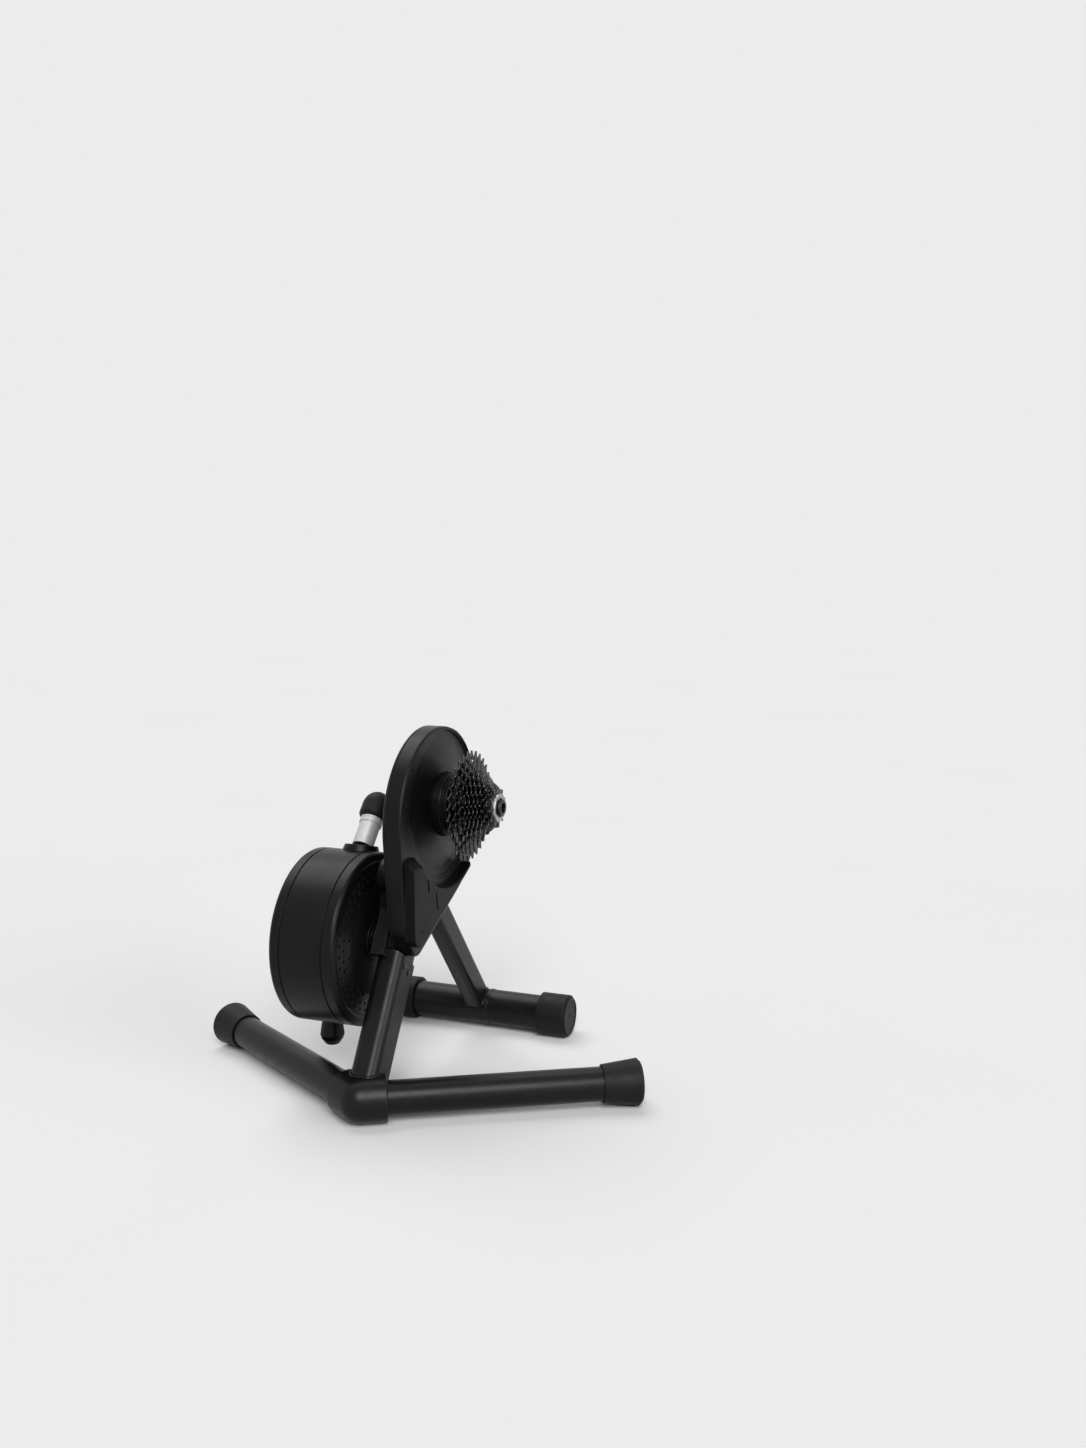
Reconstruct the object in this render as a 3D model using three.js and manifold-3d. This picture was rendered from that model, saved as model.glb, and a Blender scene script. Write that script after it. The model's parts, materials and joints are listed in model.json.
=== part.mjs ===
// A direct-drive indoor bike trainer, built as separate pieces.
// Sizes are in millimetres. x runs to the right (the chain side), y forward and z up.
// The origin is on the floor, below the axle.

import * as THREE from 'three';
import { mergeVertices, toCreasedNormals } from 'three/addons/utils/BufferGeometryUtils.js';
import Module from 'manifold-3d';

const wasm = await Module();
wasm.setup();

// Clearances and cuts
const seatGap = 0.3;
const turningGap = 0.5;
const overrun = 6;

// Roundness, in degrees a facet
const fineStep = 9;
const mediumStep = 15;
const coarseStep = 20;
const boltStep = 30;
const slotStep = 45;
const ventStep = 60;
const beltStep = 5;
const creaseAngle = 32;

// Axle line
const axleHeight = 344;
const dropoutSpacing = 142;
const axleRightEnd = 107;
const axleTubeRadius = 8.5;
const thruAxleRadius = 6.2;
const endCapRadius = 10.5;
const endCapThickness = 2.7;
const endCapChamfer = 1;
const leftSpacerRadius = 15;
const axleShoulderRadius = 11;

// Flywheel shaft line
const shaftBack = 76;
const shaftDrop = 156;
const shaftHeight = axleHeight - shaftDrop;
const shaftRadius = 6;
const shaftThickRadius = 8;

// Frame casting
const castingRight = 4.7;
const castingThickness = 26.7;
const castingEdge = 1.2;
const castingWeb = 9;
const axleBossRadius = 27;
const shaftBossRadius = 21;
const castingRib = 8;
const castingRibStep = 8;
const castingRearBack = 60;
const castingRearDrop = 80;
const castingRearRadius = 22;
const castingFrontForward = 30;
const castingFrontDrop = 98;
const castingFrontRadius = 24;

// Belt cover
const coverThickness = 23;
const coverBackGap = 0.3;
const coverPlateThickness = 3;
const coverWall = 2.5;
const coverEdgeRadius = 2.5;
const coverTopRadius = 112.5;
const coverTopBack = 8;
const coverTopDrop = 16;
const coverTipRadius = 38;
const coverTipForward = 4;
const coverTipRise = 34;
const coverNoseRadius = 17.5;
const coverNoseRise = 2;
const recessRadius = 93;
const recessDepth = 4;
const dishRadius = 82;
const dishRise = 5.5;
const dishInnerRadius = 46;
const coverScrewBack = 103;
const coverScrewRise = 16;
const coverScrewRadius = 2.4;

// Raised panel over the lower belt run
const panelHeight = 12;
const panelEdgeRadius = 1.2;
const panelInnerRadius = 97;
const panelInnerBack = 3;
const panelInnerDrop = 5;
const panelRib = 7.5;
const panelTopDrop = 48;
const panelCornerRadius = 10;
const panelTipBack = 91;
const panelTipRise = 19;
const panelTipRadius = 18.5;
const panelEndForward = 54;
const slotWidth = 3.4;
const slotDepth = 3;
const upperSlot = { back: 70, drop: 93, length: 14, lean: 8 };
const lowerSlot = { back: 46, drop: 120, length: 20, lean: 10 };

// Belt drive
const beltBack = 10.3;
const beltWidth = 9;
const beltThickness = 2.5;
const drivePulleyRadius = 84;
const drivePulleyRim = 5;
const drivePulleyWeb = 3.5;
const flywheelPulleyRadius = 9.5;
const idlerRadius = 10.5;
const idlerShare = 0.55;
const idlerPinRadius = 3;
const idlerArmThickness = 1.6;
const idlerArmLength = 30;
const idlerArmHalf = 6;

// Hub between the belt cover and the sprockets
const hubBossRadius = 39;
const hubBossDepth = 10;
const hubMiddleRadius = 35;
const hubMiddleDepth = 6.5;
const hubOuterRadius = 27;
const hubOuterDepth = 6;
const hubEdge = 1.5;
const hubBearingRadius = 14;
const hubBearingWidth = 8;

// Freehub and sprockets
const freehubRadius = 16.6;
const splineDepth = 1.4;
const splineCount = 9;
const ridgeShare = 0.5;
const splineSlack = 0.02;
const freehubFlangeRadius = 20;
const freehubFlangeThickness = 4;
const sprocketTeeth = [32, 28, 25, 22, 20, 18, 16, 14, 13, 12, 11];
const sprocketPitch = 3.6;
const sprocketThickness = 1.8;
const sprocketFirst = 62;
const chainPitch = 12.7;
const rollerRadius = 3.9;
const toothRise = 2.9;
const valleyShare = 0.2;
const halfPitchShare = 0.5;
const tipShare = 0.1;
const sprocketRim = 5;
const armCount = 6;
const armShare = 0.35;
const windowStep = 25;
const spacerRim = 3;
const lockringThickness = 3;
const lockringRadius = 17.2;

// Flywheel housing
const housingRight = -30;
const housingWidth = 86;
const housingRadius = 104.5;
const housingWall = 3;
const rightCoverDepth = 14.7;
const leftCoverDepth = 16;
const housingBevel = 9.5;
const housingBevelDepth = 4;
const leftBevel = 3.5;
const faceInset = 1.5;
const hubRingRadius = 27;
const hubRingStep = 5.5;
const ventRadius = 2.3;
const ventInset = 20.5;
const ventRingGap = 12;
const ventCount = 18;
const ventStagger = 0.5;

// Flywheel, brake and bearings
const flywheelClearance = 3.5;
const flywheelWidth = 44;
const flywheelRim = 24;
const flywheelWeb = 10;
const flywheelHubRadius = 22;
const flywheelInset = 20;
const statorInset = 17.5;
const statorDepth = 28;
const statorBase = 4;
const poleHeight = 12;
const poleWidth = 13;
const poleCount = 12;
const shaftBearingRadius = 13;
const shaftBearingWidth = 8;

// Carry handle on the housing
const handleFromRight = 32;
const handleForward = 28;
const handleLean = 42;
const collarRadius = 21;
const collarHeight = 10;
const collarEdge = 2;
const collarSocket = 4;
const postRadius = 13;
const postWall = 2;
const postLength = 42;
const bandRadius = 14.2;
const bandLength = 8;
const gripRadius = 18;
const gripLength = 38;
const gripOverlap = 8;
const gripRound = 20;
const gripEdge = 3;

// Power inlet under the housing
const inletFromRight = 61;
const inletRadius = 15;
const inletLength = 34;
const inletTaper = 5;
const socketRadius = 4;
const socketDepth = 10;

// Rear strut
const rearStrutWidth = 34;
const rearStrutDepth = 49;
const rearStrutCorner = 10;
const rearStrutWall = 2.5;
const rearStrutBaseBack = 158;
const rearStrutBaseHeight = 34;
const rearStrutTopDrop = 21;
const rearStrutCutForward = 13;
const rearStrutCutDrop = 35;
const rearStrutCutLean = 53;
const lugDepth = 15;
const lugBelow = 6;
const lugAbove = 48;
const lugWidth = 21;
const lugRightGap = 5;

// Front strut
const frontStrutWidth = 25;
const frontStrutDepth = 36;
const frontStrutCorner = 6;
const frontStrutWall = 2.5;
const frontStrutBaseForward = 174;
const frontStrutTopForward = 19.4;
const frontStrutTopDrop = 131;
const strutRunOn = 38;
const tongueLength = 34;
const tongueRoot = 30;

// Rear foot
const footAxisHeight = 28;
const kneeBack = 172.6;
const legSweep = 30;
const legRadius = 20;
const legWall = 2;
const legLength = 326;
const kneeRadius = 27.2;
const kneeBallRise = 0.4;
const kneeBallFacets = 24;
const kneeSocketLength = 30;
const legInsert = 16;
const legCapLength = 44;
const legCapInnerRadius = 22.5;
const legCapOuterRadius = 27.6;
const capWall = 2.6;
const footFlat = 14;
const footFlatLength = 20;

// Front foot
const frontFootForward = 172;
const frontFootRadius = 23.5;
const frontFootWall = 2;
const frontFootLength = 262;
const frontCapLength = 39;
const frontCapRadius = 28.4;
const discThickness = 3;
const discInset = 3;
const discMarkRadius = 3;
const discMarkDepth = 1;
const discEdge = 1.5;

// Bolts through the struts
const boltHeadRadius = 3.2;
const boltHeadHeight = 0.8;
const boltRadius = 2;
const boltReach = 6;
const rearBoltsBelow = [11, 15];
const rearBoltsAcross = [-10, 4];
const frontBoltBelow = 15;

// Small helpers for shapes

const radians = THREE.MathUtils.degToRad;

function arc(centreX, centreY, radius, from, to, step = mediumStep) {
  const pieces = Math.max(1, Math.ceil(Math.abs(to - from) / step - 1e-6));
  const points = [];
  for (let i = 0; i <= pieces; i += 1) {
    const angle = radians(from + ((to - from) * i) / pieces);
    points.push(new THREE.Vector2(centreX + radius * Math.cos(angle), centreY + radius * Math.sin(angle)));
  }
  return points;
}

function circle(centreX, centreY, radius, step = mediumStep) {
  return arc(centreX, centreY, radius, 0, 360, step).slice(0, -1);
}

function roundedRectangle(width, height, corner, step = coarseStep) {
  const x = width / 2 - corner;
  const y = height / 2 - corner;
  return [
    ...arc(x, y, corner, 0, 90, step),
    ...arc(-x, y, corner, 90, 180, step),
    ...arc(-x, -y, corner, 180, 270, step),
    ...arc(x, -y, corner, 270, 360, step),
  ];
}

// The outline round two circles and the two lines that touch both.
function beltOutline(a, b, step = mediumStep) {
  const reach = Math.hypot(b.x - a.x, b.y - a.y);
  const heading = THREE.MathUtils.radToDeg(Math.atan2(b.y - a.y, b.x - a.x));
  const spread = THREE.MathUtils.radToDeg(Math.acos((a.r - b.r) / reach));
  return [
    ...arc(a.x, a.y, a.r, heading + spread, heading - spread + 360, step),
    ...arc(b.x, b.y, b.r, heading - spread, heading + spread, step),
  ];
}

// The outline of a band stretched round several circles.
function hullOutline(circles) {
  const points = circles.flatMap(({ x, y, r }) => circle(x, y, r, fineStep))
    .sort((a, b) => a.x - b.x || a.y - b.y);
  const chain = (ordered) => {
    const kept = [];
    for (const point of ordered) {
      while (kept.length > 1) {
        const last = kept[kept.length - 1].clone().sub(kept[kept.length - 2]);
        if (last.cross(point.clone().sub(kept[kept.length - 1])) > 0) {
          break;
        }
        kept.pop();
      }
      kept.push(point);
    }
    return kept.slice(0, -1);
  };
  return [...chain(points), ...chain([...points].reverse())];
}

function extruded(outline, from, to, holes = [], bevel = 0) {
  const shape = new THREE.Shape(outline);
  for (const hole of holes) {
    shape.holes.push(new THREE.Path(hole));
  }
  const geometry = new THREE.ExtrudeGeometry(shape, {
    depth: to - from - 2 * bevel,
    steps: 1,
    bevelEnabled: bevel > 0,
    bevelThickness: bevel,
    bevelSize: bevel,
    bevelOffset: -bevel,
    bevelSegments: 2,
  });
  return geometry.translate(0, 0, from + bevel);
}

// A turned piece: the profile holds [radius, place along the axis], and the axis is local z.
function turned(profile, step = mediumStep) {
  const points = profile.map(([radius, along]) => new THREE.Vector2(radius, along));
  if (THREE.ShapeUtils.isClockWise(points)) {
    points.reverse();
  }
  if (Math.min(...points.map((point) => point.x)) > 0) {
    points.push(points[0].clone());
  }
  return new THREE.LatheGeometry(points, Math.round(360 / step)).rotateX(Math.PI / 2);
}

// A ring, or a disc where the bore is 0.
function ring(outer, bore, from, to, step = mediumStep) {
  return turned([[bore, from], [outer, from], [outer, to], [bore, to]], step);
}

function solid(geometry) {
  const bare = geometry.index ? geometry.toNonIndexed() : geometry.clone();
  bare.deleteAttribute('normal');
  bare.deleteAttribute('uv');
  const merged = mergeVertices(bare);
  const index = Array.from(merged.index.array);
  const kept = [];
  for (let i = 0; i < index.length; i += 3) {
    const [a, b, c] = index.slice(i, i + 3);
    if (a !== b && b !== c && c !== a) {
      kept.push(a, b, c);
    }
  }
  return new wasm.Manifold(new wasm.Mesh({
    numProp: 3,
    vertProperties: new Float32Array(merged.attributes.position.array),
    triVerts: new Uint32Array(kept),
  }));
}

function joined(first, ...others) {
  return others.reduce((body, other) => body.add(solid(other)), solid(first));
}

function cut(body, ...tools) {
  return tools.reduce((rest, tool) => rest.subtract(solid(tool)), body);
}

function surface(body) {
  const mesh = body.getMesh();
  const geometry = new THREE.BufferGeometry();
  geometry.setAttribute('position', new THREE.BufferAttribute(mesh.vertProperties, 3));
  geometry.setIndex(new THREE.BufferAttribute(mesh.triVerts, 1));
  return toCreasedNormals(geometry, radians(creaseAngle));
}

// Finishes

const finishes = {
  powderCoat: { color: 0x1b1b1d, roughness: 0.42, metalness: 0.35 },
  castBlack: { color: 0x202022, roughness: 0.5, metalness: 0.3 },
  mouldedBlack: { color: 0x18181a, roughness: 0.5, metalness: 0.0 },
  panelBlack: { color: 0x232325, roughness: 0.45, metalness: 0.1 },
  rubber: { color: 0x161617, roughness: 0.75, metalness: 0.0 },
  silver: { color: 0xb9b9bb, roughness: 0.3, metalness: 0.9 },
  steel: { color: 0x8a8a8c, roughness: 0.35, metalness: 0.9 },
  darkSteel: { color: 0x3c3c3e, roughness: 0.35, metalness: 0.85 },
  copper: { color: 0x6b4a36, roughness: 0.5, metalness: 0.6 },
  belt: { color: 0x101011, roughness: 0.8, metalness: 0.0 },
};

const materials = {};
for (const [name, values] of Object.entries(finishes)) {
  materials[name] = new THREE.MeshStandardMaterial({ name, ...values });
}

const trainer = new THREE.Group();

// Pieces that are drawn from the side: local x is forward, local y is up and local z is to the right.
const sideOn = new THREE.Group();
sideOn.quaternion.setFromRotationMatrix(new THREE.Matrix4().makeBasis(
  new THREE.Vector3(0, 1, 0),
  new THREE.Vector3(0, 0, 1),
  new THREE.Vector3(1, 0, 0),
));
trainer.add(sideOn);

// The same, centred on the axle and on the flywheel shaft.
const onAxle = new THREE.Group();
onAxle.position.set(0, axleHeight, 0);
sideOn.add(onAxle);

const onShaft = new THREE.Group();
onShaft.position.set(-shaftBack, shaftHeight, 0);
sideOn.add(onShaft);

function piece(name, geometry, material, parent) {
  const mesh = new THREE.Mesh(geometry, material);
  mesh.name = name;
  parent.add(mesh);
  return mesh;
}

// Belt cover

const coverBack = castingRight + coverBackGap;
const coverFace = coverBack + coverThickness;
const shellBack = coverBack + coverPlateThickness + seatGap;
const recessFloor = coverFace - recessDepth;
const hubOpening = hubBossRadius + turningGap;

function coverOutline(offset) {
  return hullOutline([
    { x: -coverTopBack, y: axleHeight - coverTopDrop, r: coverTopRadius + offset },
    { x: coverTipForward - shaftBack, y: shaftHeight + coverTipRise, r: coverTipRadius + offset },
    { x: -shaftBack, y: shaftHeight + coverNoseRise, r: coverNoseRadius + offset },
  ]);
}

function slotOutline({ back, drop, length, lean }) {
  const points = [
    ...arc(0, length, slotWidth / 2, 0, 180, slotStep),
    ...arc(0, 0, slotWidth / 2, 180, 360, slotStep),
  ];
  const turn = radians(lean);
  return points.map((point) => point.rotateAround(new THREE.Vector2(), turn)
    .add(new THREE.Vector2(-back, axleHeight - drop)));
}

function beltCoverShell() {
  const outsideBack = shellBack - 2 * coverEdgeRadius;
  const outside = solid(extruded(coverOutline(0), outsideBack, coverFace, [], coverEdgeRadius));
  const recess = circle(0, axleHeight, recessRadius, fineStep);
  const dish = turned([
    [hubOpening, recessFloor - coverWall],
    [dishRadius, recessFloor - coverWall],
    [dishRadius, recessFloor],
    [dishInnerRadius, recessFloor + dishRise],
    [hubOpening, recessFloor + dishRise],
  ], fineStep).translate(0, axleHeight, 0);
  return cut(
    outside,
    extruded(coverOutline(overrun), outsideBack - overrun, shellBack),
    extruded(coverOutline(-coverWall), shellBack - overrun, recessFloor - coverWall),
    extruded(recess, recessFloor, coverFace + overrun),
    extruded(circle(0, axleHeight, hubOpening, fineStep), shellBack, coverFace),
    extruded(
      circle(-coverScrewBack, axleHeight + coverScrewRise, coverScrewRadius, slotStep),
      coverFace - slotDepth,
      coverFace + overrun,
    ),
  ).add(solid(dish));
}

piece('belt_cover_shell', surface(beltCoverShell()), materials.mouldedBlack, sideOn);

piece(
  'belt_cover_back_plate',
  extruded(coverOutline(0), coverBack, coverBack + coverPlateThickness, [
    circle(0, axleHeight, axleShoulderRadius + turningGap, coarseStep),
    circle(-shaftBack, shaftHeight, shaftRadius + turningGap, coarseStep),
  ]),
  materials.mouldedBlack,
  sideOn,
);

const panelOuterRadius = panelInnerRadius + panelRib;
const panelTip = { x: -panelTipBack, y: shaftHeight + panelTipRise, r: panelTipRadius };

function panelOutline() {
  const topY = axleHeight - panelTopDrop;
  const rise = topY - (axleHeight - panelInnerDrop);
  const startAngle = 180 - THREE.MathUtils.radToDeg(Math.asin(rise / panelInnerRadius));
  const endShare = (panelEndForward + panelInnerBack) / panelInnerRadius;
  const endAngle = 360 - THREE.MathUtils.radToDeg(Math.acos(endShare));
  const ribAngle = 360 - THREE.MathUtils.radToDeg(Math.acos(panelEndForward / panelOuterRadius));
  const reach = new THREE.Vector2(panelTip.x, panelTip.y - axleHeight);
  const spread = Math.acos((panelOuterRadius - panelTip.r) / reach.length());
  const edgeAngle = THREE.MathUtils.radToDeg(reach.angle() + spread);
  return [
    ...arc(-panelInnerBack, axleHeight - panelInnerDrop, panelInnerRadius, startAngle, endAngle, fineStep),
    ...arc(0, axleHeight, panelOuterRadius, ribAngle, edgeAngle, fineStep),
    ...arc(panelTip.x, panelTip.y, panelTip.r, edgeAngle, 180, mediumStep),
    ...arc(
      panelTip.x - panelTip.r + panelCornerRadius, topY - panelCornerRadius,
      panelCornerRadius, 180, 90, mediumStep,
    ),
  ];
}

function tensionPanel() {
  const from = coverFace + seatGap;
  const to = coverFace + panelHeight;
  const body = solid(extruded(panelOutline(), from - 2 * panelEdgeRadius, to, [], panelEdgeRadius));
  return cut(
    body,
    extruded(coverOutline(overrun), from - 2 * panelEdgeRadius - overrun, from),
    extruded(slotOutline(upperSlot), to - slotDepth, to + overrun),
    extruded(slotOutline(lowerSlot), to - slotDepth, to + overrun),
    extruded(circle(panelTip.x, panelTip.y, coverScrewRadius, slotStep), to - slotDepth, to + overrun),
  );
}

piece('belt_cover_panel', surface(tensionPanel()), materials.panelBlack, sideOn);

// Frame casting: one plate behind the belt cover that carries the axle and the flywheel shaft

const castingLeft = castingRight - castingThickness;

// A frame tube from the middle of its base to the middle of its top.
function strutBetween(base, top, section) {
  const along = new THREE.Vector3(top.x - base.x, top.y - base.y, 0);
  const reach = along.length();
  along.normalize();
  const across = new THREE.Vector3(along.y, -along.x, 0);
  const sideways = new THREE.Vector3().crossVectors(along, across);
  return {
    ...section,
    place: new THREE.Matrix4().makeBasis(across, sideways, along).setPosition(base.x, base.y, 0),
    top: reach,
    length: reach + strutRunOn,
  };
}

const rearStrut = strutBetween(
  { x: -rearStrutBaseBack, y: rearStrutBaseHeight },
  { x: -shaftBack, y: shaftHeight - rearStrutTopDrop },
  { depth: rearStrutDepth, width: rearStrutWidth, corner: rearStrutCorner, wall: rearStrutWall },
);

const frontStrut = strutBetween(
  { x: frontStrutBaseForward, y: footAxisHeight },
  { x: frontStrutTopForward, y: axleHeight - frontStrutTopDrop },
  { depth: frontStrutDepth, width: frontStrutWidth, corner: frontStrutCorner, wall: frontStrutWall },
);

function strutTube(strut) {
  const outline = roundedRectangle(strut.depth, strut.width, strut.corner);
  const bore = roundedRectangle(
    strut.depth - 2 * strut.wall,
    strut.width - 2 * strut.wall,
    strut.corner - strut.wall,
  );
  return extruded(outline, 0, strut.length, [bore]).applyMatrix4(strut.place);
}

function strutTongue(strut) {
  const inset = 2 * (strut.wall + seatGap);
  const outline = roundedRectangle(
    strut.depth - inset,
    strut.width - inset,
    strut.corner - strut.wall - seatGap,
  );
  return extruded(outline, strut.top - tongueLength, strut.top + tongueRoot).applyMatrix4(strut.place);
}

// A point in a strut's side view: so far up it, and so far forward of its middle.
function onStrut(strut, along, across) {
  const point = new THREE.Vector3(across, 0, along).applyMatrix4(strut.place);
  return new THREE.Vector2(point.x, point.y);
}

const rearBolts = rearBoltsBelow.map(
  (below, i) => onStrut(rearStrut, rearStrut.top - below, rearBoltsAcross[i]),
);
const frontBolt = onStrut(frontStrut, frontStrut.top - frontBoltBelow, 0);

function boltHole(centre, strut, radius) {
  const outline = circle(centre.x, centre.y, radius, coarseStep);
  return extruded(outline, boltInner(strut) - seatGap, strut.width);
}

function boltInner(strut) {
  return strut.width / 2 - strut.wall - boltReach;
}

const axleBoss = { x: 0, y: axleHeight, r: axleBossRadius };
const rearBoss = { x: -castingRearBack, y: axleHeight - castingRearDrop, r: castingRearRadius };
const shaftBoss = { x: -shaftBack, y: shaftHeight, r: shaftBossRadius };
const frontBoss = { x: castingFrontForward, y: axleHeight - castingFrontDrop, r: castingFrontRadius };
const bosses = [axleBoss, rearBoss, shaftBoss, frontBoss];

function rib(a, b, radius, from, to) {
  return extruded(beltOutline({ x: a.x, y: a.y, r: radius }, { x: b.x, y: b.y, r: radius }), from, to);
}

function frameCasting() {
  const web = bosses.map((boss) => new THREE.Vector2(boss.x, boss.y));
  const next = [...bosses.slice(1), bosses[0]];
  const inside = extruded(coverOutline(castingEdge), castingLeft - overrun, castingRight + overrun);
  const plate = joined(
    extruded(web, castingRight - castingWeb, castingRight),
    ...bosses.map((boss) => extruded(circle(boss.x, boss.y, boss.r), castingLeft, castingRight)),
    ...bosses.map((boss, i) => rib(boss, next[i], castingRib, castingLeft, castingRight)),
    rib(axleBoss, shaftBoss, castingRib, castingLeft + castingRibStep, castingRight),
  ).intersect(solid(inside));

  const tongues = cut(
    joined(strutTongue(rearStrut), strutTongue(frontStrut)),
    extruded(coverOutline(castingEdge), castingRight, rearStrutWidth),
  );

  const lugFront = -(rearStrut.depth / 2 + seatGap);
  const lugFoot = rearStrut.top - lugBelow;
  const lugHead = rearStrut.top + lugAbove;
  const lug = extruded([
    onStrut(rearStrut, lugFoot, lugFront - lugDepth),
    onStrut(rearStrut, lugFoot, lugFront),
    onStrut(rearStrut, lugHead, lugFront),
    onStrut(rearStrut, lugHead, lugFront - lugDepth),
  ], castingRight - lugWidth, castingRight - lugRightGap);
  const axleBore = circle(0, axleHeight, axleTubeRadius + seatGap, coarseStep);

  return cut(
    plate.add(tongues).add(solid(lug)),
    extruded(axleBore, castingLeft - overrun, castingRight + overrun),
    extruded(
      circle(-shaftBack, shaftHeight, shaftBearingRadius + seatGap, mediumStep),
      castingLeft - overrun,
      castingLeft + shaftBearingWidth + 2 * turningGap,
    ),
    extruded(
      circle(-shaftBack, shaftHeight, shaftRadius + turningGap, coarseStep),
      castingLeft,
      castingRight + overrun,
    ),
    ...rearBolts.map((bolt) => boltHole(bolt, rearStrut, boltRadius + seatGap)),
    boltHole(frontBolt, frontStrut, boltRadius + seatGap),
  );
}

piece('frame_casting', surface(frameCasting()), materials.castBlack, sideOn);

// Axle

const axleLeftEnd = axleRightEnd - dropoutSpacing;
const axleTubeLeft = axleLeftEnd + endCapThickness;
const axleTubeRight = axleRightEnd - endCapThickness - seatGap;

piece('axle_tube', turned([
  [thruAxleRadius, castingLeft],
  [axleTubeRadius, castingLeft],
  [axleTubeRadius, coverBack],
  [axleShoulderRadius, coverBack],
  [axleShoulderRadius, beltBack - turningGap],
  [axleTubeRadius, beltBack - turningGap],
  [axleTubeRadius, axleTubeRight],
  [thruAxleRadius, axleTubeRight],
], coarseStep), materials.darkSteel, onAxle);

piece('axle_end_cap_right', turned([
  [thruAxleRadius, axleRightEnd - endCapThickness],
  [endCapRadius, axleRightEnd - endCapThickness],
  [endCapRadius, axleRightEnd - endCapChamfer],
  [endCapRadius - endCapChamfer, axleRightEnd],
  [thruAxleRadius, axleRightEnd],
], coarseStep), materials.darkSteel, onAxle);

piece('axle_end_cap_left', turned([
  [thruAxleRadius, castingLeft - seatGap],
  [leftSpacerRadius, castingLeft - seatGap],
  [leftSpacerRadius, axleTubeLeft],
  [endCapRadius, axleTubeLeft],
  [endCapRadius, axleLeftEnd],
  [thruAxleRadius, axleLeftEnd],
], coarseStep), materials.darkSteel, onAxle);

// Drive pulley, with the stepped hub that stands out of the belt cover

const beltFront = beltBack + beltWidth;
const hubFrom = beltBack;
const bossFrom = recessFloor + dishRise + turningGap;
const bossTo = bossFrom + hubBossDepth;
const middleTo = bossTo + hubMiddleDepth;
const hubTo = middleTo + hubOuterDepth;
const hubBore = axleTubeRadius + turningGap;
const webMiddle = beltBack + beltWidth / 2;

piece('drive_pulley', turned([
  [hubBore, hubFrom + hubBearingWidth + 2 * seatGap],
  [hubBearingRadius, hubFrom + hubBearingWidth + 2 * seatGap],
  [hubBearingRadius, hubFrom],
  [hubBossRadius, hubFrom],
  [hubBossRadius, webMiddle - drivePulleyWeb / 2],
  [drivePulleyRadius - drivePulleyRim, webMiddle - drivePulleyWeb / 2],
  [drivePulleyRadius - drivePulleyRim, beltBack],
  [drivePulleyRadius, beltBack],
  [drivePulleyRadius, beltFront],
  [drivePulleyRadius - drivePulleyRim, beltFront],
  [drivePulleyRadius - drivePulleyRim, webMiddle + drivePulleyWeb / 2],
  [hubBossRadius, webMiddle + drivePulleyWeb / 2],
  [hubBossRadius, bossTo - hubEdge],
  [hubBossRadius - hubEdge, bossTo],
  [hubMiddleRadius, bossTo],
  [hubMiddleRadius, middleTo - hubEdge],
  [hubMiddleRadius - hubEdge, middleTo],
  [hubOuterRadius, middleTo],
  [hubOuterRadius, hubTo - hubEdge],
  [hubOuterRadius - hubEdge, hubTo],
  [hubBearingRadius, hubTo],
  [hubBearingRadius, hubTo - hubBearingWidth - 2 * seatGap],
  [hubBore, hubTo - hubBearingWidth - 2 * seatGap],
]), materials.castBlack, onAxle);

for (const [name, from] of [
  ['hub_bearing_left', hubFrom + seatGap],
  ['hub_bearing_right', hubTo - hubBearingWidth - seatGap],
]) {
  piece(
    name,
    ring(hubBearingRadius - seatGap, axleTubeRadius + seatGap, from, from + hubBearingWidth, coarseStep),
    materials.steel,
    onAxle,
  );
}

// Freehub body and sprockets

const freehubFrom = hubTo + turningGap;
const flangeTo = freehubFrom + freehubFlangeThickness;
const sprocketLast = sprocketFirst + sprocketPitch * (sprocketTeeth.length - 1);
const freehubTo = sprocketLast + sprocketThickness;

function splineOutline(radius, slack = 0) {
  const points = [];
  const corners = [
    [-slack, radius],
    [ridgeShare + slack, radius],
    [ridgeShare + slack, radius - splineDepth],
    [1 - slack, radius - splineDepth],
  ];
  for (let i = 0; i < splineCount; i += 1) {
    for (const [share, reach] of corners) {
      const angle = (2 * Math.PI * (i + share)) / splineCount;
      points.push(new THREE.Vector2(reach * Math.cos(angle), reach * Math.sin(angle)));
    }
  }
  return points;
}

function freehubBody() {
  const bore = circle(0, 0, hubBore, coarseStep);
  return joined(
    extruded(splineOutline(freehubRadius), flangeTo, freehubTo, [bore]),
    ring(freehubFlangeRadius, hubBore, freehubFrom, flangeTo + seatGap, coarseStep),
  );
}

piece('freehub_body', surface(freehubBody()), materials.darkSteel, onAxle);

function pitchRadius(teeth) {
  return chainPitch / (2 * Math.sin(Math.PI / teeth));
}

function toothedOutline(teeth) {
  const root = pitchRadius(teeth) - rollerRadius;
  const tip = pitchRadius(teeth) + toothRise;
  const points = [];
  const corners = [
    [-valleyShare, root],
    [valleyShare, root],
    [halfPitchShare - tipShare, tip],
    [halfPitchShare + tipShare, tip],
  ];
  for (let i = 0; i < teeth; i += 1) {
    for (const [share, radius] of corners) {
      const angle = (2 * Math.PI * (i + share)) / teeth;
      points.push(new THREE.Vector2(radius * Math.cos(angle), radius * Math.sin(angle)));
    }
  }
  return points;
}

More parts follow.
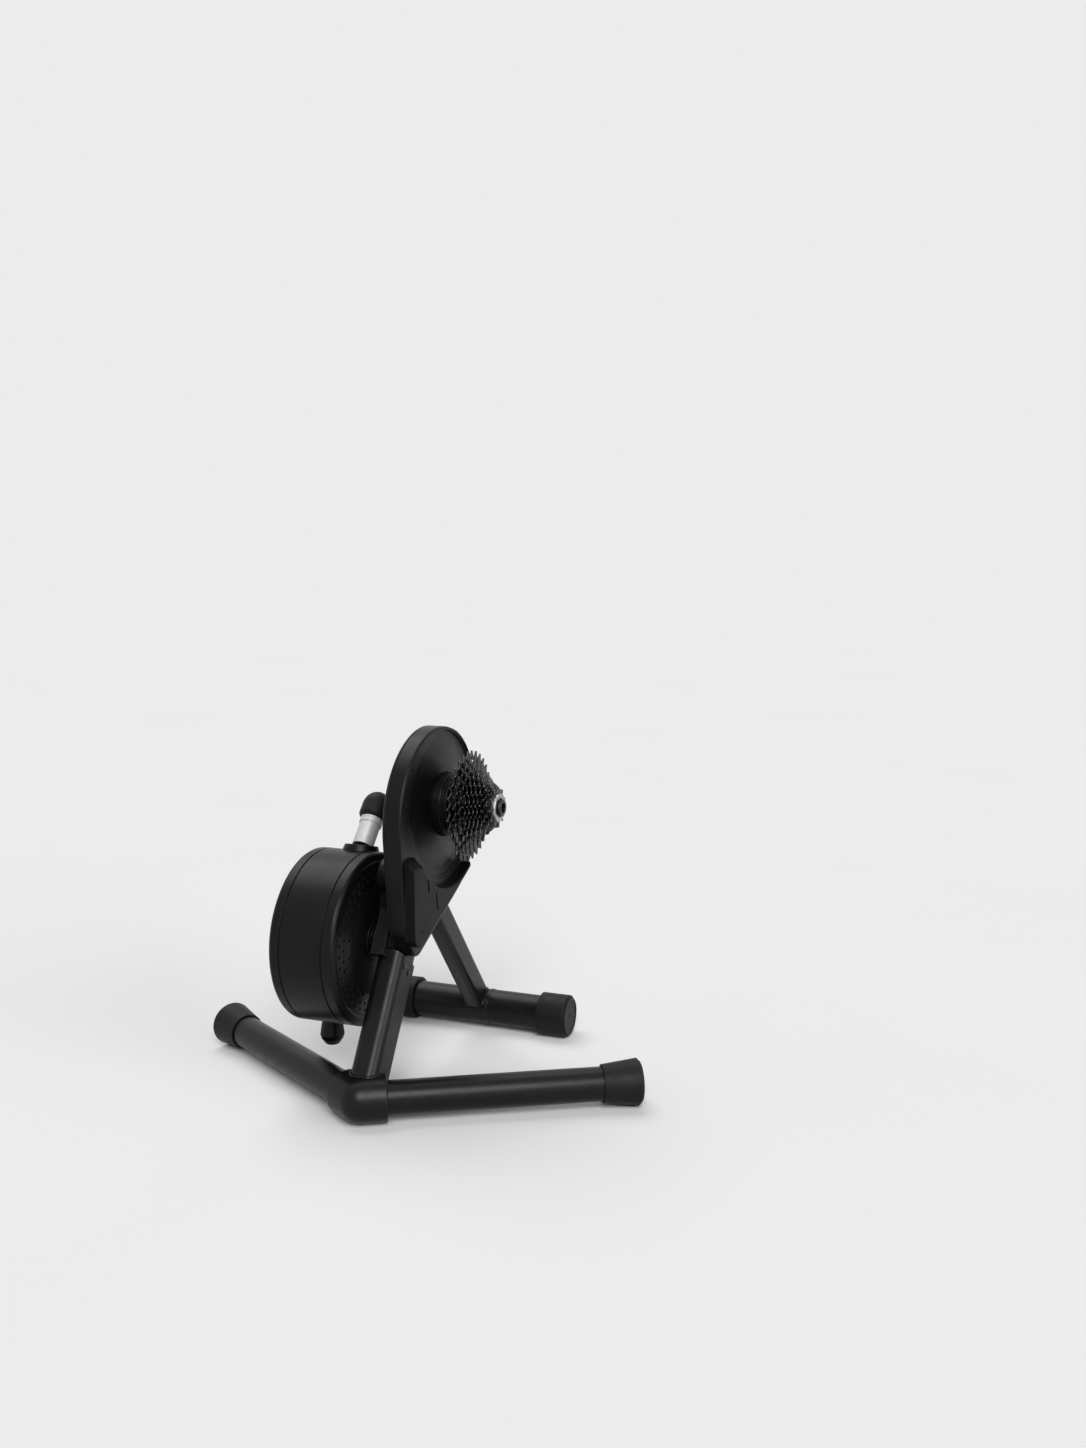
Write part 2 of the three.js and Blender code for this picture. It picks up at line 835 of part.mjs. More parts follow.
// The windows between the arms of a large sprocket.
function windowOutlines(teeth) {
  const outer = pitchRadius(teeth) - rollerRadius - sprocketRim;
  const inner = freehubRadius + spacerRim + sprocketRim / 2;
  if (outer - inner < 2 * sprocketRim) {
    return [];
  }
  const windows = [];
  for (let i = 0; i < armCount; i += 1) {
    const from = (360 * (i + armShare / 2)) / armCount;
    const to = (360 * (i + 1 - armShare / 2)) / armCount;
    windows.push([
      ...arc(0, 0, outer, from, to, windowStep),
      ...arc(0, 0, inner, to, from, 2 * windowStep),
    ]);
  }
  return windows;
}

sprocketTeeth.forEach((teeth, i) => {
  const from = sprocketFirst + sprocketPitch * i;
  const to = from + sprocketThickness;
  const bore = splineOutline(freehubRadius + seatGap, splineSlack);
  const plate = extruded(toothedOutline(teeth), from, to, [bore, ...windowOutlines(teeth)]);
  const isLast = i === sprocketTeeth.length - 1;
  const body = isLast ? solid(plate) : joined(
    plate,
    ring(
      freehubRadius + spacerRim,
      freehubRadius + 2 * seatGap,
      to - seatGap,
      from + sprocketPitch - seatGap,
      coarseStep,
    ),
  );
  piece(`sprocket_${teeth}_teeth`, surface(body), materials.darkSteel, onAxle);
});

piece(
  'sprocket_lockring',
  ring(lockringRadius, hubBore, freehubTo + seatGap, freehubTo + seatGap + lockringThickness, coarseStep),
  materials.steel,
  onAxle,
);

// Belt, flywheel pulley and idler

const driveCircle = { x: 0, y: axleHeight, r: drivePulleyRadius + seatGap };
const flywheelCircle = { x: -shaftBack, y: shaftHeight, r: flywheelPulleyRadius + seatGap };

function beltLoop() {
  const outer = beltOutline(
    { ...driveCircle, r: driveCircle.r + beltThickness },
    { ...flywheelCircle, r: flywheelCircle.r + beltThickness },
    beltStep,
  );
  return extruded(outer, beltBack, beltFront, [beltOutline(driveCircle, flywheelCircle, beltStep)]);
}

piece('drive_belt', beltLoop(), materials.belt, sideOn);

piece(
  'flywheel_pulley',
  ring(flywheelPulleyRadius, shaftRadius + seatGap, beltBack, beltFront, coarseStep),
  materials.steel,
  onShaft,
);

function idlerCentre() {
  const reach = new THREE.Vector2(flywheelCircle.x - driveCircle.x, flywheelCircle.y - driveCircle.y);
  const spread = Math.acos((driveCircle.r - flywheelCircle.r) / reach.length());
  const angle = Math.atan2(reach.y, reach.x) - spread;
  const outward = new THREE.Vector2(Math.cos(angle), Math.sin(angle));
  const fromDrive = new THREE.Vector2(driveCircle.x, driveCircle.y).addScaledVector(outward, driveCircle.r);
  const fromFlywheel = new THREE.Vector2(flywheelCircle.x, flywheelCircle.y)
    .addScaledVector(outward, flywheelCircle.r);
  return fromDrive.lerp(fromFlywheel, idlerShare)
    .addScaledVector(outward, beltThickness + seatGap + idlerRadius);
}

const idler = idlerCentre();
const armFrom = shellBack;
const armTo = armFrom + idlerArmThickness;

piece('idler_roller', ring(idlerRadius, idlerPinRadius + turningGap, beltBack, beltFront, coarseStep)
  .translate(idler.x, idler.y, 0), materials.steel, sideOn);

piece('idler_arm', surface(joined(
  rib(idler, { x: idler.x, y: idler.y + idlerArmLength }, idlerArmHalf, armFrom, armTo),
  extruded(circle(idler.x, idler.y, idlerPinRadius, coarseStep), armFrom, beltFront + turningGap),
)), materials.steel, sideOn);

// Flywheel housing

const housingLeft = housingRight - housingWidth;
const rightCoverFrom = housingRight - rightCoverDepth;
const leftCoverTo = housingLeft + leftCoverDepth;
const housingBore = housingRadius - housingWall;
const rightInside = housingRight - faceInset - housingWall;
const leftInside = housingLeft + housingWall;
const facePlane = housingRight - faceInset;
const faceRadius = housingRadius - housingBevel;
const hubFace = castingLeft - seatGap;
const hubRingDepth = (hubFace - facePlane) / 3;

piece(
  'housing_shell',
  ring(housingRadius, housingBore, leftCoverTo + seatGap, rightCoverFrom - seatGap),
  materials.mouldedBlack,
  onShaft,
);

function housingRightCover() {
  const body = solid(turned([
    [shaftThickRadius + turningGap, rightInside],
    [housingBore, rightInside],
    [housingBore, rightCoverFrom],
    [housingRadius, rightCoverFrom],
    [housingRadius, housingRight - housingBevelDepth],
    [faceRadius, housingRight],
    [faceRadius - faceInset, housingRight],
    [faceRadius - 2 * faceInset, facePlane],
    [hubRingRadius, facePlane],
    [hubRingRadius, facePlane + hubRingDepth],
    [hubRingRadius - hubRingStep, facePlane + hubRingDepth],
    [hubRingRadius - hubRingStep, facePlane + 2 * hubRingDepth],
    [hubRingRadius - 2 * hubRingStep, facePlane + 2 * hubRingDepth],
    [hubRingRadius - 2 * hubRingStep, hubFace],
    [shaftThickRadius + turningGap, hubFace],
  ]));
  const vents = [];
  const ventRing = housingRadius - ventInset;
  for (const [radius, offset] of [[ventRing, 0], [ventRing - ventRingGap, ventStagger]]) {
    for (let i = 0; i < ventCount; i += 1) {
      const angle = (2 * Math.PI * (i + offset)) / ventCount;
      vents.push(extruded(
        circle(radius * Math.cos(angle), radius * Math.sin(angle), ventRadius, ventStep),
        rightInside - overrun,
        housingRight + overrun,
      ));
    }
  }
  return cut(body, ...vents);
}

piece('housing_right_cover', surface(housingRightCover()), materials.mouldedBlack, onShaft);

const bearingSeat = shaftBearingRadius + seatGap;

piece('housing_left_cover', turned([
  [0, housingLeft],
  [housingRadius - leftBevel, housingLeft],
  [housingRadius, housingLeft + leftBevel],
  [housingRadius, leftCoverTo],
  [housingBore, leftCoverTo],
  [housingBore, leftInside],
  [bearingSeat + housingWall, leftInside],
  [bearingSeat + housingWall, leftInside + shaftBearingWidth + seatGap],
  [bearingSeat, leftInside + shaftBearingWidth + seatGap],
  [bearingSeat, leftInside + seatGap],
  [0, leftInside + seatGap],
]), materials.mouldedBlack, onShaft);

// Flywheel, shaft, bearings and brake

const shaftFrom = leftInside + 2 * seatGap;
const thickFrom = leftInside + shaftBearingWidth + 3 * seatGap;
const thickTo = castingLeft + seatGap;

piece('flywheel_shaft', turned([
  [0, shaftFrom],
  [shaftRadius, shaftFrom],
  [shaftRadius, thickFrom],
  [shaftThickRadius, thickFrom],
  [shaftThickRadius, thickTo],
  [shaftRadius, thickTo],
  [shaftRadius, beltFront + turningGap],
  [0, beltFront + turningGap],
], coarseStep), materials.steel, onShaft);

for (const [name, from] of [
  ['shaft_bearing_left', leftInside + 2 * seatGap],
  ['shaft_bearing_right', castingLeft + 2 * seatGap],
]) {
  piece(
    name,
    ring(shaftBearingRadius, shaftRadius + seatGap, from, from + shaftBearingWidth - seatGap, coarseStep),
    materials.steel,
    onShaft,
  );
}

const flywheelFrom = housingLeft + flywheelInset;
const flywheelTo = flywheelFrom + flywheelWidth;
const flywheelMiddle = (flywheelFrom + flywheelTo) / 2;
const flywheelRadius = housingBore - flywheelClearance;
const flywheelBore = shaftThickRadius + seatGap;

piece('flywheel', turned([
  [flywheelBore, flywheelFrom],
  [flywheelHubRadius, flywheelFrom],
  [flywheelHubRadius, flywheelMiddle - flywheelWeb / 2],
  [flywheelRadius - flywheelRim, flywheelMiddle - flywheelWeb / 2],
  [flywheelRadius - flywheelRim, flywheelFrom],
  [flywheelRadius, flywheelFrom],
  [flywheelRadius, flywheelTo],
  [flywheelRadius - flywheelRim, flywheelTo],
  [flywheelRadius - flywheelRim, flywheelMiddle + flywheelWeb / 2],
  [flywheelHubRadius, flywheelMiddle + flywheelWeb / 2],
  [flywheelHubRadius, flywheelTo],
  [flywheelBore, flywheelTo],
]), materials.steel, onShaft);

function brakeStator() {
  const baseTo = rightInside - seatGap;
  const baseFrom = baseTo - statorBase;
  const outer = housingBore - statorInset;
  const inner = outer - statorDepth;
  const poles = [];
  for (let i = 0; i < poleCount; i += 1) {
    poles.push(new THREE.BoxGeometry(statorDepth, poleWidth, poleHeight)
      .translate((outer + inner) / 2, 0, baseFrom + seatGap - poleHeight / 2)
      .rotateZ((2 * Math.PI * i) / poleCount));
  }
  return joined(ring(outer, inner, baseFrom, baseTo), ...poles);
}

piece('brake_stator', surface(brakeStator()), materials.copper, onShaft);

// Carry handle on top of the housing

trainer.updateMatrixWorld(true);

// The housing's outside, a little larger, as a tool for the pieces that sit on it.
function housingTool(target) {
  target.updateMatrixWorld(true);
  return ring(housingRadius + seatGap, 0, housingLeft, housingRight)
    .applyMatrix4(onShaft.matrixWorld)
    .applyMatrix4(target.matrixWorld.clone().invert());
}

const handle = new THREE.Group();
handle.position.set(
  housingRight - handleFromRight,
  handleForward - shaftBack,
  shaftHeight + Math.sqrt(housingRadius ** 2 - handleForward ** 2),
);
handle.rotation.x = -radians(handleLean);
trainer.add(handle);

piece('handle_collar', surface(cut(
  solid(turned([
    [0, -collarRadius],
    [collarRadius, -collarRadius],
    [collarRadius, collarHeight - collarEdge],
    [collarRadius - collarEdge, collarHeight],
    [postRadius + seatGap, collarHeight],
    [postRadius + seatGap, collarHeight - collarSocket],
    [0, collarHeight - collarSocket],
  ])),
  housingTool(handle),
)), materials.mouldedBlack, handle);

const postFrom = collarHeight - collarSocket + seatGap;
const postTo = collarHeight + postLength;

piece('handle_post', ring(postRadius, postRadius - postWall, postFrom, postTo), materials.silver, handle);

piece(
  'handle_band',
  ring(bandRadius, postRadius + seatGap, postTo - gripOverlap - bandLength, postTo - gripOverlap - seatGap),
  materials.silver,
  handle,
);

function gripProfile() {
  const from = postTo - gripOverlap;
  const shoulder = from + gripLength - gripRound;
  const crown = arc(0, 0, 1, 0, 90, mediumStep).slice(0, -1)
    .map((point) => [gripRadius * point.x, shoulder + gripRound * point.y]);
  return [
    [0, postTo + seatGap],
    [postRadius + seatGap, postTo + seatGap],
    [postRadius + seatGap, from],
    [gripRadius - gripEdge, from],
    [gripRadius, from + gripEdge],
    ...crown,
    [0, shoulder + gripRound],
  ];
}

piece('handle_grip', turned(gripProfile()), materials.rubber, handle);

// Power inlet under the housing

const inlet = new THREE.Group();
inlet.position.set(housingRight - inletFromRight, -shaftBack, shaftHeight - housingRadius);
trainer.add(inlet);

piece('power_inlet', surface(cut(
  solid(turned([
    [0, inletRadius],
    [inletRadius, inletRadius],
    [inletRadius, -inletLength + inletTaper],
    [inletRadius - inletTaper, -inletLength],
    [socketRadius, -inletLength],
    [socketRadius, socketDepth - inletLength],
    [0, socketDepth - inletLength],
  ])),
  housingTool(inlet),
)), materials.mouldedBlack, inlet);

// Struts

function footGroup(y, alongX, alongY) {
  const along = new THREE.Vector3(alongX, alongY, 0).normalize();
  const up = new THREE.Vector3(0, 0, 1);
  const group = new THREE.Group();
  group.quaternion.setFromRotationMatrix(new THREE.Matrix4().makeBasis(
    new THREE.Vector3().crossVectors(up, along),
    up,
    along,
  ));
  group.position.set(0, y, footAxisHeight);
  trainer.add(group);
  group.updateMatrixWorld(true);
  return group;
}

const sweep = radians(legSweep);
const rightLeg = footGroup(-kneeBack, Math.cos(sweep), Math.sin(sweep));
const leftLeg = footGroup(-kneeBack, -Math.cos(sweep), Math.sin(sweep));
const frontFoot = footGroup(frontFootForward, 1, 0);

// A round bar along each rear leg, in the trainer's frame.
function legBars(radius, from, to) {
  return [rightLeg, leftLeg].map((leg) => ring(radius, 0, from, to).applyMatrix4(leg.matrixWorld));
}

// The outside of the rear knuckle in the trainer's frame, grown by a margin.
function knuckleOutside(margin) {
  const radius = kneeRadius + margin;
  const ball = new THREE.SphereGeometry(radius + kneeBallRise, kneeBallFacets, kneeBallFacets / 2)
    .translate(0, -kneeBack, footAxisHeight);
  return joined(ball, ...legBars(radius, 0, kneeSocketLength));
}

function inSideView(body) {
  const inverse = sideOn.matrixWorld.clone().invert();
  const mesh = body.getMesh();
  const geometry = new THREE.BufferGeometry();
  geometry.setAttribute('position', new THREE.BufferAttribute(mesh.vertProperties, 3));
  geometry.setIndex(new THREE.BufferAttribute(mesh.triVerts, 1));
  return geometry.applyMatrix4(inverse);
}

const topTool = extruded(coverOutline(castingEdge + seatGap), -rearStrutWidth, rearStrutWidth);

function rearStrutTube() {
  const turn = radians(rearStrutCutLean);
  const reach = rearStrut.length;
  const slant = new THREE.BoxGeometry(reach, reach, 2 * rearStrut.width)
    .translate(reach / 2, 0, 0)
    .rotateZ(Math.PI / 2 - turn)
    .translate(rearStrutCutForward - shaftBack, shaftHeight - rearStrutCutDrop, 0);
  return cut(
    solid(strutTube(rearStrut)),
    topTool,
    slant,
    inSideView(knuckleOutside(seatGap)),
    ...legBars(legRadius + seatGap, 0, 2 * kneeSocketLength)
      .map((bar) => bar.applyMatrix4(sideOn.matrixWorld.clone().invert())),
    ...rearBolts.map((bolt) => boltHole(bolt, rearStrut, boltRadius + seatGap)),
  );
}

function frontStrutTube() {
  const foot = ring(frontFootRadius + seatGap, 0, -frontStrutWidth, frontStrutWidth)
    .translate(frontFootForward, footAxisHeight, 0);
  const below = new THREE.BoxGeometry(frontStrut.length, frontFootRadius, 2 * frontStrut.width)
    .translate(frontFootForward, footAxisHeight - frontFootRadius / 2, 0);
  return cut(
    solid(strutTube(frontStrut)),
    topTool,
    foot,
    below,
    boltHole(frontBolt, frontStrut, boltRadius + seatGap),
  );
}

piece('rear_strut', surface(rearStrutTube()), materials.powderCoat, sideOn);
piece('front_strut', surface(frontStrutTube()), materials.powderCoat, sideOn);

function strutBolt(name, centre, strut) {
  const face = strut.width / 2 + seatGap;
  piece(name, turned([
    [0, boltInner(strut)],
    [boltRadius, boltInner(strut)],
    [boltRadius, face],
    [boltHeadRadius, face],
    [boltHeadRadius, face + boltHeadHeight],
    [0, face + boltHeadHeight],
  ], boltStep).translate(centre.x, centre.y, 0), materials.darkSteel, sideOn);
}

strutBolt('rear_strut_bolt_upper', rearBolts[0], rearStrut);
strutBolt('rear_strut_bolt_lower', rearBolts[1], rearStrut);
strutBolt('front_strut_bolt', frontBolt, frontStrut);

// Rear foot: a knuckle and two swept legs

function rearKnuckle() {
  return cut(
    knuckleOutside(0),
    ...legBars(legRadius + seatGap, kneeSocketLength - legInsert, kneeSocketLength + overrun),
  );
}

piece('rear_knuckle', surface(rearKnuckle()), materials.powderCoat, trainer);

function footPad(width, radius, from, to) {
  return new THREE.BoxGeometry(width, footAxisHeight - radius / 2, to - from)
    .translate(0, -(footAxisHeight + radius / 2) / 2, (from + to) / 2);
}

function endDisc(name, radius, from, parent) {
  piece(name, turned([
    [0, from],
    [radius, from],
    [radius, from + discThickness - discEdge],
    [radius - discEdge, from + discThickness],
    [discMarkRadius, from + discThickness],
    [discMarkRadius, from + discThickness - discMarkDepth],
    [0, from + discThickness - discMarkDepth],
  ], coarseStep), materials.rubber, parent);
}

for (const [side, leg] of [['right', rightLeg], ['left', leftLeg]]) {
  const capFrom = legLength - legCapLength;
  const tubeTo = legLength - capWall - seatGap;
  piece(
    `rear_leg_${side}`,
    ring(legRadius, legRadius - legWall, kneeSocketLength - legInsert + seatGap, tubeTo),
    materials.powderCoat,
    leg,
  );
  const cup = joined(
    turned([
      [0, legLength],
      [legCapOuterRadius - discEdge, legLength],
      [legCapOuterRadius, legLength - discEdge],
      [legCapInnerRadius, capFrom],
      [0, capFrom],
    ]),
    footPad(footFlat, legRadius, legLength - footFlatLength, legLength - discEdge),
  );
  piece(
    `rear_cap_${side}`,
    surface(cut(cup, ring(legRadius + seatGap, 0, capFrom - overrun, legLength - capWall))),
    materials.rubber,
    leg,
  );
  endDisc(`rear_cap_disc_${side}`, legCapOuterRadius - discInset, legLength + seatGap, leg);
}

// Front foot: a straight tube with two end caps

const frontHalf = frontFootLength / 2;
const frontTubeHalf = frontHalf - capWall - seatGap;

piece(
  'front_foot_tube',
  ring(frontFootRadius, frontFootRadius - frontFootWall, -frontTubeHalf, frontTubeHalf),
  materials.powderCoat,
  frontFoot,
);

for (const side of ['right', 'left']) {
  const end = new THREE.Group();
  end.rotation.y = side === 'right' ? 0 : Math.PI;
  frontFoot.add(end);
  const capFrom = frontHalf - frontCapLength;
  const cup = solid(turned([
    [0, frontHalf],
    [frontCapRadius - discEdge, frontHalf],
    [frontCapRadius, frontHalf - discEdge],
    [frontCapRadius, capFrom + discEdge],
    [frontCapRadius - discEdge, capFrom],
    [0, capFrom],
  ]));
  const floor = new THREE.BoxGeometry(4 * frontCapRadius, frontCapRadius, 4 * frontCapLength)
    .translate(0, -footAxisHeight - frontCapRadius / 2, frontHalf);
  piece(
    `front_cap_${side}`,
    surface(cut(cup, ring(frontFootRadius + seatGap, 0, capFrom - overrun, frontHalf - capWall), floor)),
    materials.rubber,
    end,
  );
  endDisc(`front_cap_disc_${side}`, frontCapRadius - discInset, frontHalf + seatGap, end);
}

export default trainer;
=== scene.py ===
# The finished look of a direct drive bike trainer, built round its CAD frame.
# Sizes are in metres, in the frame's own axes: x to the chain side, y forward, z up.

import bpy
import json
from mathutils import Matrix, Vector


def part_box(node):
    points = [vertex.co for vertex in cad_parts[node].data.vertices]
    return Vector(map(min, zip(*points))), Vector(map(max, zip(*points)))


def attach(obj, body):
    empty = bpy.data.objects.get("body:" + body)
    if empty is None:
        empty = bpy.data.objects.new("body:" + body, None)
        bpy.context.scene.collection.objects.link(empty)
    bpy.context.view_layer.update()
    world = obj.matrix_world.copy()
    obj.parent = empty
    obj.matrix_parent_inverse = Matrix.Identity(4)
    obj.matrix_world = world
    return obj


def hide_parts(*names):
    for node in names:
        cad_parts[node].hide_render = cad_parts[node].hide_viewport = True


bl_info = {
    "name": "Direct Drive Trainer",
    "version": (1, 0, 0),
    "blender": (4, 5, 0),
    "location": "3D View > Sidebar > Trainer",
    "description": "Builds the finished pieces of a direct drive bike trainer and a studio stage",
    "category": "Add Mesh",
}

import json
import math

import bmesh
import bpy
from mathutils import Matrix, Vector

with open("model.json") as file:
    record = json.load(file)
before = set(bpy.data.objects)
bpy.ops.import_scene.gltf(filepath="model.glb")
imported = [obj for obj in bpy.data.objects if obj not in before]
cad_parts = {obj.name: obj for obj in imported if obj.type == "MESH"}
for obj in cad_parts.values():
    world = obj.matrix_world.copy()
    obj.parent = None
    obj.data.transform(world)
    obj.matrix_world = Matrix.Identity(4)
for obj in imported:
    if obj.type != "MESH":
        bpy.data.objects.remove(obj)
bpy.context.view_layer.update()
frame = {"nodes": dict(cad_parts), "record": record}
NODES = frame["nodes"]


def middle(node):
    """The middle of a CAD node's box."""
    low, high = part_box(node)
    return (low + high) / 2


def span(node, axis=0):
    """A CAD node's lowest and highest place along one axis."""
    low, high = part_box(node)
    return low[axis], high[axis]


# Side view: local x is forward, local y is up and local z is to the chain side.
SIDE_ON = Matrix(((0, 0, 1, 0), (1, 0, 0, 0), (0, 1, 0, 0), (0, 0, 0, 1)))
AXLE_HEIGHT = middle("sprocket_lockring").z
SHAFT_FORWARD = middle("housing_shell").y
SHAFT_HEIGHT = middle("housing_shell").z
ON_AXLE = Matrix.Translation((0, 0, AXLE_HEIGHT)) @ SIDE_ON
ON_SHAFT = Matrix.Translation((0, SHAFT_FORWARD, SHAFT_HEIGHT)) @ SIDE_ON
UP = Vector((0, 0, 1))

# Belt cover: its outline is a band round three circles (forward, up, radius)
COVER_CIRCLES = (
    (-0.008, AXLE_HEIGHT - 0.016, 0.1125),
    (SHAFT_FORWARD + 0.004, SHAFT_HEIGHT + 0.034, 0.038),
    (SHAFT_FORWARD, SHAFT_HEIGHT + 0.002, 0.0175),
)
COVER_FACE = span("belt_cover_back_plate")[0] + 0.023
COVER_WALL = 0.0022
RECESS_RADIUS = 0.093
RECESS_DEPTH = 0.004
DISH_RADIUS = 0.082
DISH_INNER = 0.046
DISH_RISE = 0.0055
HUB_OPENING = 0.0395
RIM_SCREW = Vector((-0.103, AXLE_HEIGHT + 0.016))
SCREW_HOLE = 0.0024
PANEL_TIP = Vector((-0.091, SHAFT_HEIGHT + 0.019))
PANEL_TOP = AXLE_HEIGHT - 0.048
PANEL_SLOPE = 0.62

# Drum. Vents stand in rings: radius, count and shift in parts of a step
DRUM_RADIUS = span("housing_shell", 2)[1] - SHAFT_HEIGHT
DRUM_BORE = DRUM_RADIUS - 0.003
DRUM_FRONT = -0.030
VENT_RINGS = ((0.0848, 40, 0.0), (0.0775, 40, 0.5), (0.0680, 20, 0.25))
VENT_LIP = 0.0003
DOME = {"edge": 0.0885, "crown": 0.0645, "rise": 0.005}

# Struts: the middle of the base and of the top (forward, up), depth, width, corner, wall
REAR_STRUT = {
    "base": Vector((-0.158, 0.034)), "top": Vector((SHAFT_FORWARD, SHAFT_HEIGHT - 0.021)),
    "depth": 0.049, "width": 0.034, "corner": 0.0115, "wall": 0.0025,
}
FRONT_STRUT = {
    "base": Vector((0.174, 0.028)), "top": Vector((0.0194, AXLE_HEIGHT - 0.131)),
    "depth": 0.036, "width": 0.025, "corner": 0.0085, "wall": 0.0025,
}
REAR_STRUT_END = 0.0215
STRUT_GAP = 0.0015
SLANT_POINT = Vector((SHAFT_FORWARD + 0.013, SHAFT_HEIGHT - 0.035))
SLANT_ANGLE = math.radians(37)

# Rear foot
KNEE = Vector((0, -0.1726, 0.028))
KNEE_RADIUS = 0.0272
KNEE_SOCKET = 0.030
SOCKET_BORE = 0.0203
SOCKET_FLOOR = 0.014
LEG_RADIUS = 0.020
LEG_SWEEP = math.radians(30)
LEG_LENGTH = 0.326
REAR_CAP = {"length": 0.044, "neck": 0.0225, "end": 0.0276, "pad_half": 0.007, "pad_length": 0.020}

# Front foot
FRONT_FOOT = Vector((0, 0.172, 0.028))
FRONT_RADIUS = 0.0235
FRONT_CAP = {"length": 0.039, "radius": 0.0284}
DISC_THICKNESS = 0.0023
TUBE_WALL = 0.002
TUBE_SHORTER = 0.0029
BOOT_FLOOR = 0.0026
DISC_SEAT = 0.0004
SEAT_GAP = 0.0003

# Handle on the drum
HANDLE_LEAN = math.radians(42)
HANDLE_FORWARD = 0.028
HANDLE_FROM_RIGHT = 0.032

# Sprockets
TEETH = (32, 28, 25, 22, 20, 18, 16, 14, 13, 12, 11)
CHAIN_PITCH = 0.0127
ROLLER_RADIUS = 0.0039
TOOTH_RISE = 0.0029
TOOTH_EDGE = 0.00022
SPROCKET_THICKNESS = 0.0018

# A ring with less than this radius is a single point
POINT = 1e-7

# Faces that meet at more than this many degrees meet in a sharp edge
CORNER = 32


def colour(label, value, description):
    """A colour setting."""
    return bpy.props.FloatVectorProperty(
        name=label, description=description, default=value, subtype="COLOR", min=0, max=1
    )


def size(label, value, description):
    """A length setting in metres."""
    return bpy.props.FloatProperty(
        name=label, description=description, default=value, unit="LENGTH", min=0, precision=5
    )


def share(label, value, description):
    """A setting from 0 to 1."""
    return bpy.props.FloatProperty(
        name=label, description=description, default=value, subtype="FACTOR", min=0, max=1
    )


def strength(label, value, description):
    """A lamp's strength setting."""
    return bpy.props.FloatProperty(name=label, description=description, default=value, min=0)


class TrainerFinishes(bpy.types.PropertyGroup):
    """Colours and gloss of the trainer's finishes."""

    powder_coat: colour("Powder coat", (0.0034, 0.0034, 0.0036), "Satin coat on struts and foot tubes")
    cast_black: colour("Cast black", (0.0038, 0.0038, 0.0040), "Coat on the frame casting and the hub")
    moulded_black: colour("Moulded black", (0.0020, 0.0020, 0.0022), "Plastic of drum and belt cover")
    panel_black: colour("Panel black", (0.0036, 0.0036, 0.0038), "Plastic of the raised lower panel")
    rubber: colour("Rubber", (0.0052, 0.0052, 0.0052), "End caps and the handle's grip")
    silver: colour("Silver", (0.46, 0.46, 0.465), "Handle post")
    steel: colour("Steel", (0.36, 0.36, 0.37), "Flywheel, shafts and bearings")
    dark_steel: colour("Dark steel", (0.032, 0.032, 0.034), "Sprockets and axle ends")
    windings: colour("Windings", (0.30, 0.13, 0.07), "Brake coils")
    belt: colour("Belt", (0.010, 0.010, 0.010), "Drive belt")
    coat_roughness: share("Coat roughness", 0.33, "Roughness of the powder coat")
    plastic_roughness: share("Plastic roughness", 0.35, "Roughness of the moulded plastic")
    rubber_roughness: share("Rubber roughness", 0.52, "Roughness of the rubber")


class TrainerSizes(bpy.types.PropertyGroup):
    """Small sizes that the frame doesn't fix."""

    cover_edge: size("Cover edge", 0.0028, "Rounding of the belt cover's outer edge")
    panel_edge: size("Panel edge", 0.0022, "Rounding of the raised panel's edge")
    lip: size("Lip", 0.0007, "Rounding of small mouths and steps")
    tube_edge: size("Tube edge", 0.0006, "Rounding of cut tube ends")
    weld: size("Weld", 0.0021, "Radius of the weld bead at a tube's foot")
    vent_radius: size("Vent radius", 0.0018, "Radius of the drum's vents")
    seam: size("Seam", 0.0007, "Depth of the drum's seams")


class TrainerStage(bpy.types.PropertyGroup):
    """Floor, lamps and camera."""

    floor: colour("Floor", (0.80, 0.80, 0.80), "Floor")
    top_light: strength("Top lamp", 1.15, "Strength of the lamp above")
    key_light: strength("Key lamp", 2.1, "Strength of the lamp behind the trainer")
    side_light: strength("Side lamp", 1.4, "Strength of the low lamp on the chain side")
    lens: bpy.props.FloatProperty(
        name="Lens", description="Focal length of the camera", default=32.483, unit="CAMERA", min=1
    )


# Outlines and profiles


def polar(radius, angle):
    """The point at a radius and an angle in radians."""
    return Vector((radius * math.cos(angle), radius * math.sin(angle)))


def arc(centre, radius, start, end, steps):
    """Points on an arc, in degrees from the local x axis."""
    points = []
    for i in range(steps + 1):
        angle = math.radians(start + (end - start) * i / steps)
        points.append(Vector((centre[0] + radius * math.cos(angle), centre[1] + radius * math.sin(angle))))
    return points


def circle(centre, radius, steps=48):
    """Points round a whole circle."""
    return arc(centre, radius, 0, 360, steps)[:-1]


def cover_outline(grow=0.0, steps=180):
    """The belt cover's outline: the farthest of its circles in each direction."""
    points = []
    for i in range(steps):
        normal = polar(1, math.tau * i / steps)
        x, y, radius = max(COVER_CIRCLES, key=lambda c: normal.dot(Vector(c[:2])) + c[2])
        points.append(Vector((x, y)) + normal * (radius + grow))
    return points


def rounded_box(width, height, corner, steps=8):
    """A rectangle with round corners."""
    x, y = width / 2 - corner, height / 2 - corner
    points = []
    for sign_x, sign_y, start in ((1, 1, 0), (-1, 1, 90), (-1, -1, 180), (1, -1, 270)):
        points += arc((sign_x * x, sign_y * y), corner, start, start + 90, steps)
    return points


def grown(outline, by):
    """An outline moved out along its normals, or in where by is negative."""
    result = []
    count = len(outline)
    for i, point in enumerate(outline):
        before = (point - outline[i - 1]).normalized()
        after = (outline[(i + 1) % count] - point).normalized()
        first, second = Vector((before.y, -before.x)), Vector((after.y, -after.x))
        miter = (first + second) / max(1 + first.dot(second), 0.35)
        result.append(point + miter * by)
    return result


